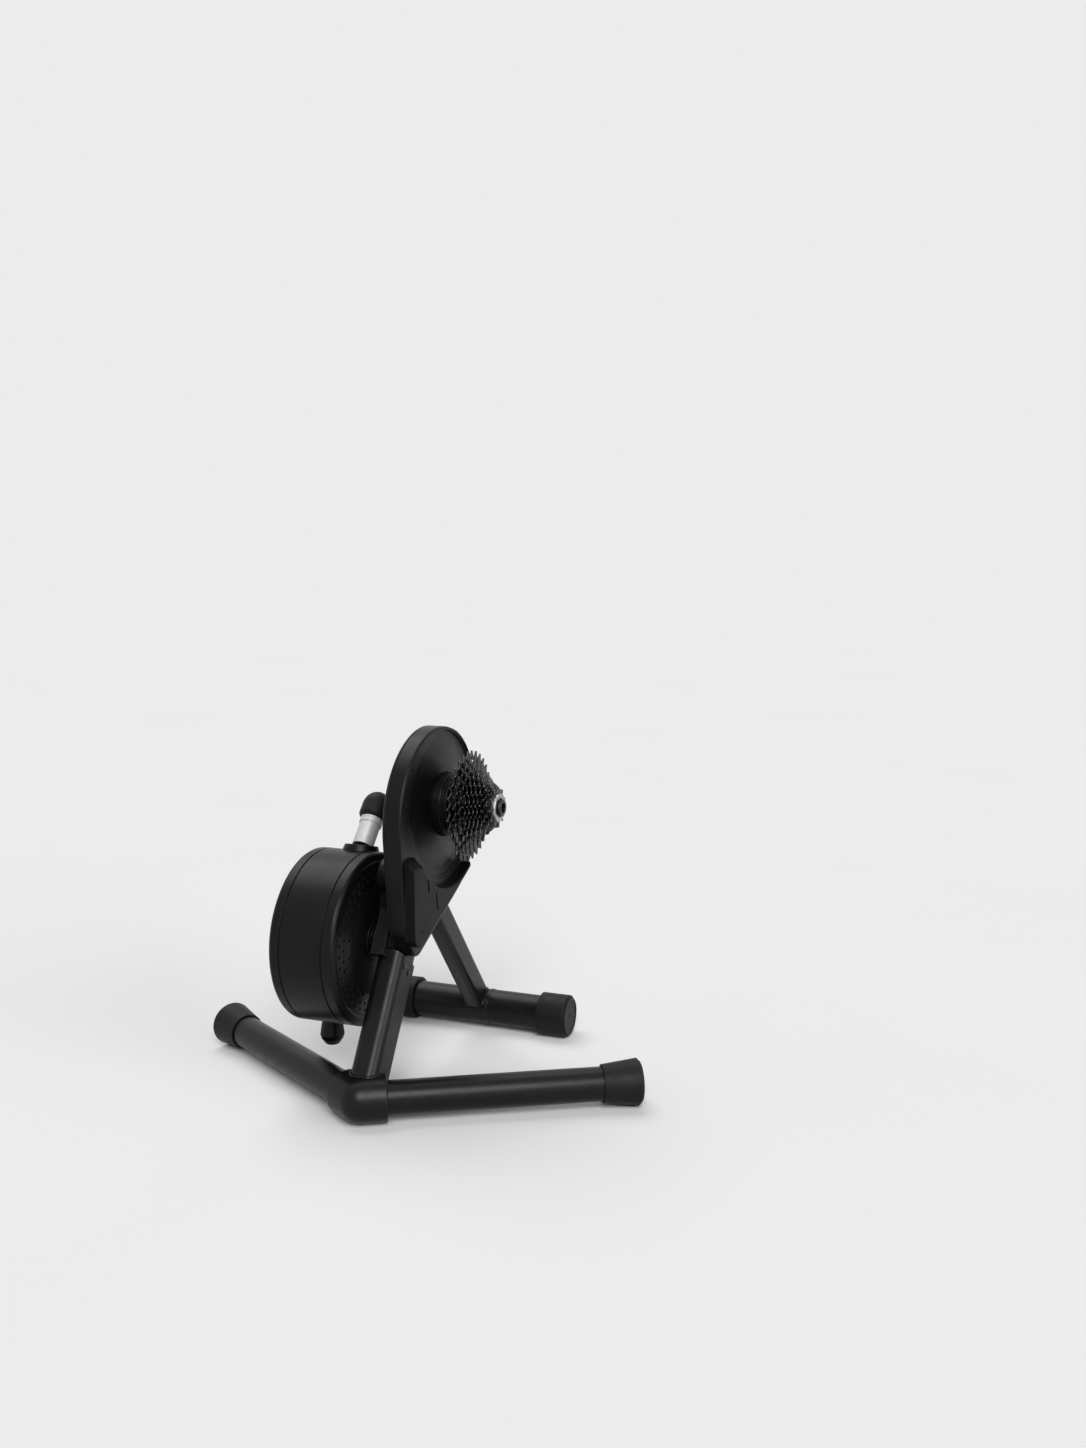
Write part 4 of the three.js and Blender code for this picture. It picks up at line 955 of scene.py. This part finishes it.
def inside_knuckle(point):
    """Whether a point is inside the rear knuckle, with its gap, or below the rear strut's end."""
    offset = point - KNEE
    if offset.length < KNEE_RADIUS + 0.0007 or point.z < REAR_STRUT_END:
        return True
    for side in (1, -1):
        along = leg_along(side)
        reach = offset.dot(along)
        radius = KNEE_RADIUS if reach < KNEE_SOCKET else LEG_RADIUS
        if 0 < reach < 0.06 and (offset - along * reach).length < radius + SEAT_GAP:
            return True
    return False


def past_rear_cuts(point):
    """Whether a point is past the rear strut's cuts: the belt cover's outline and the slant."""
    offset = Vector((point.y, point.z)) - SLANT_POINT
    return inside_cover(point) or offset.dot(polar(1, SLANT_ANGLE)) > 0


def inside_front_foot(point):
    """Whether a point is inside the front foot tube, with its gap, or below its axis."""
    offset = point - FRONT_FOOT
    return offset.z < 0 or Vector((offset.y, offset.z)).length < FRONT_RADIUS + SEAT_GAP


def strut_piece(name, strut, foot_test, top_test, node, tube_edge, low, high):
    """A hollow strut whose ends follow what it meets. Returns the points round its foot."""
    half_way = 0.08
    walls = []
    for inset in (0.0, strut["wall"]):
        wall = []
        for start, along in strut_lines(strut, inset):
            foot = reach_where(foot_test, start, along, low, half_way, last=True)
            top = reach_where(top_test, start, along, half_way, high)
            if foot is None or top is None:
                raise RuntimeError(f"{name} doesn't reach what it stands on")
            wall.append((start, along, foot, top))
        walls.append(wall)
    outside, inside = walls
    form = Form()

    def level(wall, part, edge=0.0):
        """One ring a part of the way up a wall that ends an edge short of its top."""
        return form.loop([
            start + along * (foot + (top - edge - foot) * part) for start, along, foot, top in wall
        ])

    rings = [level(outside, part, tube_edge) for part in (0.0, 0.25, 0.5, 0.75, 1.0)]
    rings.append(form.loop([
        start.lerp(inner_start, 0.25) + along * (top * 0.75 + inner_top * 0.25)
        for (start, along, _, top), (inner_start, _, _, inner_top) in zip(outside, inside)
    ]))
    rings += [level(inside, 1.0), level(inside, 0.0), rings[0]]
    form.skin(*rings)
    form.piece(name, "frame", "powder_coat", [node], sharp=40)
    return [start + along * foot for start, along, foot, _ in outside]


def weld_bead(name, points, radius, lift):
    """A bead of weld with soft ripples along a closed line of points."""
    step, wave, ripple, sides = 0.0012, 0.0038, 0.06, 10
    form = Form()
    dense = []
    for i, point in enumerate(points):
        following = points[(i + 1) % len(points)]
        parts = max(1, round((following - point).length / step))
        dense += [point.lerp(following, j / parts) for j in range(parts)]
    total = sum((dense[i] - dense[i - 1]).length for i in range(len(dense)))
    waves = round(total / wave)
    rings, travelled = [], 0.0
    for i, point in enumerate(dense):
        travelled += (point - dense[i - 1]).length
        tangent = (dense[(i + 1) % len(dense)] - dense[i - 1]).normalized()
        side = tangent.cross(lift).normalized()
        up = side.cross(tangent)
        thick = radius * (1 + ripple * math.sin(math.tau * waves * travelled / total))
        rings.append(form.loop([
            point + side * thick * math.cos(a) + up * thick * math.sin(a)
            for a in [math.tau * k / sides for k in range(sides)]
        ]))
    rings.append(rings[0])
    form.skin(*rings)
    form.piece(name, "frame", "powder_coat", sharp=70)


class TRAINER_OT_struts(bpy.types.Operator):
    """Builds the rear and front struts with the welds at their feet"""

    bl_idname = "trainer.struts"
    bl_label = "Build the struts"

    def execute(self, context):
        sizes = context.scene.trainer_sizes
        for name, strut, foot_test, top_test, low, high in (
            ("rear_strut", REAR_STRUT, inside_knuckle, past_rear_cuts, -0.03, 0.20),
            ("front_strut", FRONT_STRUT, inside_front_foot, inside_cover, -0.02, 0.29),
        ):
            feet = strut_piece(
                f"{name}_tube", strut, foot_test, top_test, name, sizes.tube_edge, low, high
            )
            weld_bead(f"{name}_weld", feet, sizes.weld, strut_lines(strut)[0][1])
        return {"FINISHED"}


def leg_place(side):
    """The place of a rear leg: local z runs out along it and local y is up."""
    out = leg_along(side)
    return Matrix.Translation(KNEE) @ Matrix((UP.cross(out), UP, out)).transposed().to_4x4()


def foot_tube(name, radius, start, end, place, node):
    """A straight open tube."""
    bore = radius - TUBE_WALL
    turned(name, ((bore, start), (radius, start), (radius, end), (bore, end)),
           place, "frame", "powder_coat", [node])


class TRAINER_OT_rear_foot(bpy.types.Operator):
    """Builds the rear foot: knuckle, two swept legs and their flared caps"""

    bl_idname = "trainer.rear_foot"
    bl_label = "Build the rear foot"

    def execute(self, context):
        sizes = context.scene.trainer_sizes
        self.knuckle(sizes)
        for side, word in ((1, "right"), (-1, "left")):
            place = leg_place(side)
            foot_tube(f"leg_{word}", LEG_RADIUS, SOCKET_FLOOR + SEAT_GAP, LEG_LENGTH - TUBE_SHORTER, place,
                      f"rear_leg_{word}")
            self.cap(place, word)
            end_disc(f"rear_disc_{word}", REAR_CAP["end"] - 0.003, LEG_LENGTH + SEAT_GAP, place,
                     f"rear_cap_disc_{word}")
        return {"FINISHED"}

    def knuckle(self, sizes):
        """Two sockets that meet in a mitre in front and a round heel behind."""
        form = Form()
        steps = 96
        angles = [math.tau * i / steps for i in range(steps)]
        rings = {}
        for side in (1, -1):
            out = leg_along(side)
            inward = Vector((-side * math.sin(LEG_SWEEP), math.cos(LEG_SWEEP), 0))
            spokes = [inward * math.cos(a) + UP * math.sin(a) for a in angles]
            mitre = []
            for angle, spoke in zip(angles, spokes):
                point = KNEE + spoke * KNEE_RADIUS
                if math.cos(angle) > 0:
                    point += out * (-point.x / out.x)
                mitre.append(point)
            profile = rounded((
                (KNEE_RADIUS, 0.012), (KNEE_RADIUS, KNEE_SOCKET, 0.0016),
                (SOCKET_BORE, KNEE_SOCKET, sizes.lip), (SOCKET_BORE, SOCKET_FLOOR), (0, SOCKET_FLOOR),
            ), closed=False)
            made = [form.loop(mitre)]
            for radius, reach in profile[:-1]:
                made.append(form.loop([KNEE + out * reach + s * radius for s in spokes]))
            form.skin(*made)
            form.cap(made[-1])
            rings[side] = made[0]
        heel = [i for i, a in enumerate(angles) if math.cos(a) <= 1e-9]
        previous = [rings[1][i] for i in heel]
        sweep_steps = 16
        for step in range(1, sweep_steps + 1):
            turn = LEG_SWEEP - 2 * LEG_SWEEP * step / sweep_steps
            back = Vector((math.sin(turn), -math.cos(turn), 0))
            current = [rings[-1][i] for i in heel] if step == sweep_steps else form.loop([
                KNEE + back * (-math.cos(angles[i])) * KNEE_RADIUS + UP * math.sin(angles[i]) * KNEE_RADIUS
                for i in heel
            ])
            for i in range(len(heel) - 1):
                form.mesh.faces.new((previous[i], previous[i + 1], current[i + 1], current[i]))
            previous = current
        form.piece("knuckle", "frame", "powder_coat", ["rear_knuckle"], sharp=50)

    def cap(self, place, word):
        """A flared rubber cap with a flat to stand on."""
        end, neck, wide = LEG_LENGTH, REAR_CAP["neck"], REAR_CAP["end"]
        start = end - REAR_CAP["length"]
        profile = (
            (SOCKET_BORE, end - BOOT_FLOOR), (SOCKET_BORE, start, 0.0005),
            (neck, start, 0.0008), (neck + 0.0004, start + 0.004, 0.002),
            (wide - 0.0008, end - 0.006, 0.004), (wide, end, 0.0016),
            (0.0246, end, 0.0005), (0.0246, end - DISC_SEAT), (0, end - DISC_SEAT),
        )

        def flatten(x, y, radius, along):
            """Presses the pad's points, and all that is lower than the floor, onto the floor."""
            in_pad = abs(x) < REAR_CAP["pad_half"] and y < 0 and radius > neck
            if in_pad and along > end - REAR_CAP["pad_length"]:
                y = -KNEE.z
            return x, max(y, -KNEE.z)

        boot(f"rear_boot_{word}", profile, place, flatten, f"rear_cap_{word}")


def boot(name, profile, place, flatten, node):
    """A rubber cap over a tube's end, flattened where it stands on the floor."""
    form = Form(place)
    rings = []
    for radius, along in rounded(profile, closed=False):
        points = [(0, 0)] if radius < POINT else circle((0, 0), radius, 120)
        rings.append(form.ring([flatten(x, y, radius, along) for x, y in points], along))
    form.skin(*rings)
    form.cap(rings[0])
    form.piece(name, "frame", "rubber", [node])


def end_disc(name, radius, start, place, node):
    """A rubber disc in a cap's end, with a raised rim and a small mark in its middle."""
    top = start + DISC_THICKNESS
    face, mark = top - 0.0008, top - 0.0014
    turned(name, (
        (0, start), (radius, start), (radius, top, 0.0012), (radius - 0.0032, top, 0.0008),
        (radius - 0.0042, face, 0.0006), (0.0034, face, 0.0003), (0.003, mark, 0.0003), (0, mark),
    ), place, "frame", "rubber", [node], closed=False)


class TRAINER_OT_front_foot(bpy.types.Operator):
    """Builds the front foot: a straight tube with two rubber caps"""

    bl_idname = "trainer.front_foot"
    bl_label = "Build the front foot"

    def execute(self, context):
        half = span("front_cap_right")[1]
        lengthwise = Matrix.Translation(FRONT_FOOT) @ Matrix.Rotation(math.pi / 2, 4, "Y")
        end = half - TUBE_SHORTER
        foot_tube("front_tube", FRONT_RADIUS, -end, end, lengthwise, "front_foot_tube")
        low, high = FRONT_RADIUS - 0.0004, FRONT_RADIUS + 0.0010
        beside = FRONT_STRUT["width"] / 2 + 0.003
        turned("front_tube_ring", (
            (low, beside), (high, beside, 0.0007), (FRONT_RADIUS + 0.0004, beside + 0.0022),
            (high, beside + 0.0044, 0.0007), (low, beside + 0.0044),
        ), lengthwise, "frame", "powder_coat")
        start, radius, bore = half - FRONT_CAP["length"], FRONT_CAP["radius"], FRONT_RADIUS + SEAT_GAP
        profile = (
            (bore, half - BOOT_FLOOR), (bore, start, 0.0005), (radius, start, 0.0014),
            (radius, half, 0.0018), (0.0257, half, 0.0005), (0.0257, half - DISC_SEAT),
            (0, half - DISC_SEAT),
        )
        for side, word in ((1, "right"), (-1, "left")):
            place = Matrix.Translation(FRONT_FOOT) @ Matrix.Rotation(side * math.pi / 2, 4, "Y")
            # The floor cuts the cap. Local x points down on the chain side and up on the other.
            boot(f"front_boot_{word}", profile, place,
                 lambda x, y, *_: (side * min(side * x, FRONT_FOOT.z), y), f"front_cap_{word}")
            end_disc(f"front_disc_{word}", radius - 0.003, half + SEAT_GAP, place, f"front_cap_disc_{word}")
        return {"FINISHED"}


class TRAINER_OT_hub(bpy.types.Operator):
    """Builds the drive pulley with its stepped hub"""

    bl_idname = "trainer.hub"
    bl_label = "Build the hub"

    def execute(self, context):
        start, end = span("drive_pulley")
        lip = context.scene.trainer_sizes.lip
        bore, seat, seat_depth = 0.009, 0.014, 0.0086
        core, hollow, rim = 0.039, 0.079, 0.084
        web_back, web_front, rim_front = start + 0.00275, start + 0.00625, start + 0.009
        boss = end - 0.0125
        step = boss + 0.0065
        turned("hub_and_pulley", (
            (bore, start + seat_depth), (seat, start + seat_depth), (seat, start), (core, start),
            (core, web_back, 0.001), (hollow, web_back, 0.001), (hollow, start, 0.0003),
            (rim, start, 0.0003), (rim, rim_front, 0.0003), (hollow, rim_front, 0.0003),
            (hollow, web_front, 0.001), (core, web_front, 0.001), (core, boss, 2 * lip),
            (0.036, boss, 0.0004), (0.0355, boss - 0.0005, 0.0004), (0.035, boss, 0.0004),
            (0.035, step, 2 * lip), (0.027, step, 0.001), (0.027, end, 1.6 * lip),
            (seat, end, 0.0004), (seat, end - seat_depth), (bore, end - seat_depth),
        ), ON_AXLE, "drive", "cast_black", ["drive_pulley"], steps=128)
        return {"FINISHED"}


def pitch_radius(teeth):
    """The radius of the circle that the chain's rollers lie on."""
    return CHAIN_PITCH / (2 * math.sin(math.pi / teeth))


def toothed(teeth):
    """The outline of a sprocket: round roller seats, sloped flanks and blunt tips."""
    pitch = pitch_radius(teeth)
    tip, flank = pitch + TOOTH_RISE, pitch + 0.0018
    step = math.tau / teeth
    points = []
    for i in range(teeth):
        seat_angle = step * i
        seat = polar(pitch, seat_angle)
        inward = -seat.normalized()
        sideways = Vector((-math.sin(seat_angle), math.cos(seat_angle)))
        for k in range(-2, 3):
            swing = math.radians(28 * k)
            direction = inward * math.cos(swing) + sideways * math.sin(swing)
            points.append(seat + direction * ROLLER_RADIUS)
        for part, radius in ((0.39, flank), (0.45, tip), (0.55, tip), (0.61, flank)):
            points.append(polar(radius, seat_angle + step * part))
    return points


def splined(radius, slack=0.02, count=9, depth=0.0014):
    """A bore with spline grooves."""
    points = []
    rows = (
        (-slack, 0), (0.25, 0), (0.5 + slack, 0), (0.5 + slack, depth), (0.75, depth), (1 - slack, depth)
    )
    for i in range(count):
        for part, drop in rows:
            points.append(polar(radius - drop, math.tau * (i + part) / count))
    return points


def windows(teeth, arms=6, arm_share=0.35):
    """The windows between a large sprocket's arms."""
    outer = pitch_radius(teeth) - ROLLER_RADIUS - 0.005
    inner, least, round_off = 0.0221, 0.010, 6
    if outer - inner < least:
        return []
    found = []
    for i in range(arms):
        start = 360 * (i + arm_share / 2) / arms
        end = 360 * (i + 1 - arm_share / 2) / arms
        inner_side = arc((0, 0), inner, end - round_off, start + round_off, 6)
        found.append(arc((0, 0), outer, start, end, 8) + inner_side)
    return found


class TRAINER_OT_cassette(bpy.types.Operator):
    """Builds the eleven sprockets with their spacers"""

    bl_idname = "trainer.cassette"
    bl_label = "Build the sprockets"

    def execute(self, context):
        for teeth in TEETH:
            node = f"sprocket_{teeth}_teeth"
            back, end = span(node)
            front = back + SPROCKET_THICKNESS
            form = Form(ON_AXLE)
            outer = form.edged(toothed(teeth), back, front, -TOOTH_EDGE)
            inner = [form.ring(splined(0.0169), height) for height in (back, front)]
            form.skin(*inner)
            holes = [form.edged(shape, back, front, TOOTH_EDGE) for shape in windows(teeth)]
            for face in (0, -1):
                form.fill(*[rings[face] for rings in (outer, inner, *holes)])
            if teeth != TEETH[-1]:
                form.turn(rounded((
                    (0.0172, front), (0.0172, end), (0.0196, end, TOOTH_EDGE), (0.0196, front),
                )), 72)
            form.piece(f"sprocket_of_{teeth}", "cassette", "dark_steel", [node], sharp=30)
        return {"FINISHED"}


class TRAINER_OT_axle(bpy.types.Operator):
    """Builds the axle's end caps and the cassette's lockring"""

    bl_idname = "trainer.axle"
    bl_label = "Build the axle ends"

    def execute(self, context):
        bore, nose = 0.0062, 0.0105
        low, high = span("axle_end_cap_right")
        turned("axle_cap_right", (
            (bore, low), (nose, low), (nose, high, 0.0012), (bore, high, 0.0006),
        ), ON_AXLE, "frame", "dark_steel", ["axle_end_cap_right"])
        low, high = span("axle_end_cap_left")
        collar = low + 0.0027
        turned("axle_cap_left", (
            (bore, low, 0.0006), (nose, low, 0.0010), (nose, collar), (0.015, collar, 0.001),
            (0.015, high), (bore, high),
        ), ON_AXLE, "frame", "dark_steel", ["axle_end_cap_left"])
        low, high = span("sprocket_lockring")
        form = Form(ON_AXLE)
        notched, notches, wide, narrow = [], 12, 0.0128, 0.0116
        for i in range(notches):
            for part, radius in ((0.0, wide), (0.42, wide), (0.5, narrow), (0.92, narrow)):
                notched.append(polar(radius, math.tau * (i + part) / notches))
        outside = form.rounds(rounded((
            (0.0172, low), (0.0172, high, 0.0008), (0.0150, high),
        ), closed=False), 96)
        inside = [form.ring(notched, high), form.ring(notched, low)]
        form.skin(*outside)
        form.skin(*inside)
        form.fill(outside[-1], inside[0])
        form.fill(outside[0], inside[1])
        form.piece("cassette_lockring", "cassette", "steel", ["sprocket_lockring"])
        return {"FINISHED"}


def lamp(name, turn, rise, strength, angle):
    """A soft, even lamp far off: turned from the front towards the chain side, and raised, in degrees."""
    light = bpy.data.lights.new(name, "SUN")
    light.energy, light.angle = strength, math.radians(angle)
    made = bpy.data.objects.new(name, light)
    side, up = math.radians(turn), math.radians(rise)
    towards = Vector((math.sin(side) * math.cos(up), math.cos(side) * math.cos(up), math.sin(up)))
    made.location = towards * 3
    made.rotation_euler = towards.to_track_quat("Z", "Y").to_euler()
    bpy.context.scene.collection.objects.link(made)


class TRAINER_OT_stage(bpy.types.Operator):
    """Builds the floor, the lamps, the world and the camera"""

    bl_idname = "trainer.stage"
    bl_label = "Build the stage"

    def execute(self, context):
        settings = context.scene.trainer_stage
        self.floor(settings)
        lamp("Top lamp", -56, 64, settings.top_light, 44)
        lamp("Key lamp", 154, 40, settings.key_light, 32)
        lamp("Side lamp", 109, 14, settings.side_light, 40)
        self.world()
        view = bpy.data.cameras.new("Camera")
        view.lens, view.sensor_width = settings.lens, 36
        camera = bpy.data.objects.new("Camera", view)
        camera.location = (0.700, -1.440, 0.640)
        camera.rotation_euler = (math.radians(90 - 7.0898), 0, math.radians(20.6163))
        context.scene.collection.objects.link(camera)
        context.scene.camera = camera
        context.scene.view_settings.view_transform = "Standard"
        return {"FINISHED"}

    def floor(self, settings):
        """A flat round floor that runs out to the pale backdrop."""
        form = Form()
        form.skin(*form.rounds([(radius, 0) for radius in (0, 1, 4, 16)], 128))
        bmesh.ops.recalc_face_normals(form.mesh, faces=form.mesh.faces)
        mesh = bpy.data.meshes.new("Floor")
        form.mesh.to_mesh(mesh)
        form.mesh.free()
        floor = bpy.data.objects.new("Floor", mesh)
        floor.location.z = -0.0002
        bpy.context.scene.collection.objects.link(floor)
        material = bpy.data.materials.new("Floor")
        material.use_nodes = True
        tree = material.node_tree
        shader = tree.nodes["Principled BSDF"]
        shader.inputs["Roughness"].default_value = 1.0
        shader.inputs["Specular IOR Level"].default_value = 0.0
        place = tree.nodes.new("ShaderNodeTexCoord").outputs["Object"]
        shade = tuple(settings.floor)
        mottle = mixed(tree, noise(tree, place, 1.4, 2), scaled(shade, 0.98), scaled(shade, 1.02))
        tree.links.new(mottle, shader.inputs["Base Color"])
        mesh.materials.append(material)

    def world(self):
        """Soft light from above. Camera, glossy and transmission rays see the pale background."""
        world = bpy.data.worlds.new("Studio")
        bpy.context.scene.world = world
        world.use_nodes = True
        tree = world.node_tree
        back = tree.nodes["Background"]
        back.inputs["Color"].default_value = (1, 1, 1, 1)
        path = tree.nodes.new("ShaderNodeLightPath")
        seen = path.outputs["Is Camera Ray"]
        for name in ("Is Glossy Ray", "Is Transmission Ray"):
            either = tree.nodes.new("ShaderNodeMath")
            either.operation = "MAXIMUM"
            tree.links.new(seen, either.inputs[0])
            tree.links.new(path.outputs[name], either.inputs[1])
            seen = either.outputs[0]
        light, pale = 0.18, 0.835
        tree.links.new(ranged(tree, seen, 0, 1, light, pale), back.inputs["Strength"])


STEPS = (
    TRAINER_OT_stage,
    TRAINER_OT_carried_pieces,
    TRAINER_OT_belt_cover,
    TRAINER_OT_housing,
    TRAINER_OT_handle,
    TRAINER_OT_inlet,
    TRAINER_OT_struts,
    TRAINER_OT_rear_foot,
    TRAINER_OT_front_foot,
    TRAINER_OT_hub,
    TRAINER_OT_cassette,
    TRAINER_OT_axle,
)
GROUPS = {
    "trainer_finishes": TrainerFinishes,
    "trainer_sizes": TrainerSizes,
    "trainer_stage": TrainerStage,
}


class TRAINER_PT_build(bpy.types.Panel):
    """Lists the trainer's settings and building steps"""

    bl_idname = "TRAINER_PT_build"
    bl_label = "Direct Drive Trainer"
    bl_space_type = "VIEW_3D"
    bl_region_type = "UI"
    bl_category = "Trainer"

    def draw(self, context):
        for step in STEPS:
            self.layout.operator(step.bl_idname)
        for name in GROUPS:
            group = getattr(context.scene, name)
            box = self.layout.box()
            for setting in group.__annotations__:
                box.prop(group, setting)


def register():
    """Adds the classes and the scene's settings."""
    for item in (*GROUPS.values(), *STEPS, TRAINER_PT_build):
        bpy.utils.register_class(item)
    for name, group in GROUPS.items():
        setattr(bpy.types.Scene, name, bpy.props.PointerProperty(type=group))


def unregister():
    """Takes the settings and the classes away again."""
    for name in reversed(GROUPS):
        delattr(bpy.types.Scene, name)
    for item in reversed((*GROUPS.values(), *STEPS, TRAINER_PT_build)):
        bpy.utils.unregister_class(item)


def main():
    """Builds everything in order."""
    register()
    for step in STEPS:
        group, name = step.bl_idname.split(".")
        getattr(getattr(bpy.ops, group), name)()


if __name__ == "__main__":
    main()
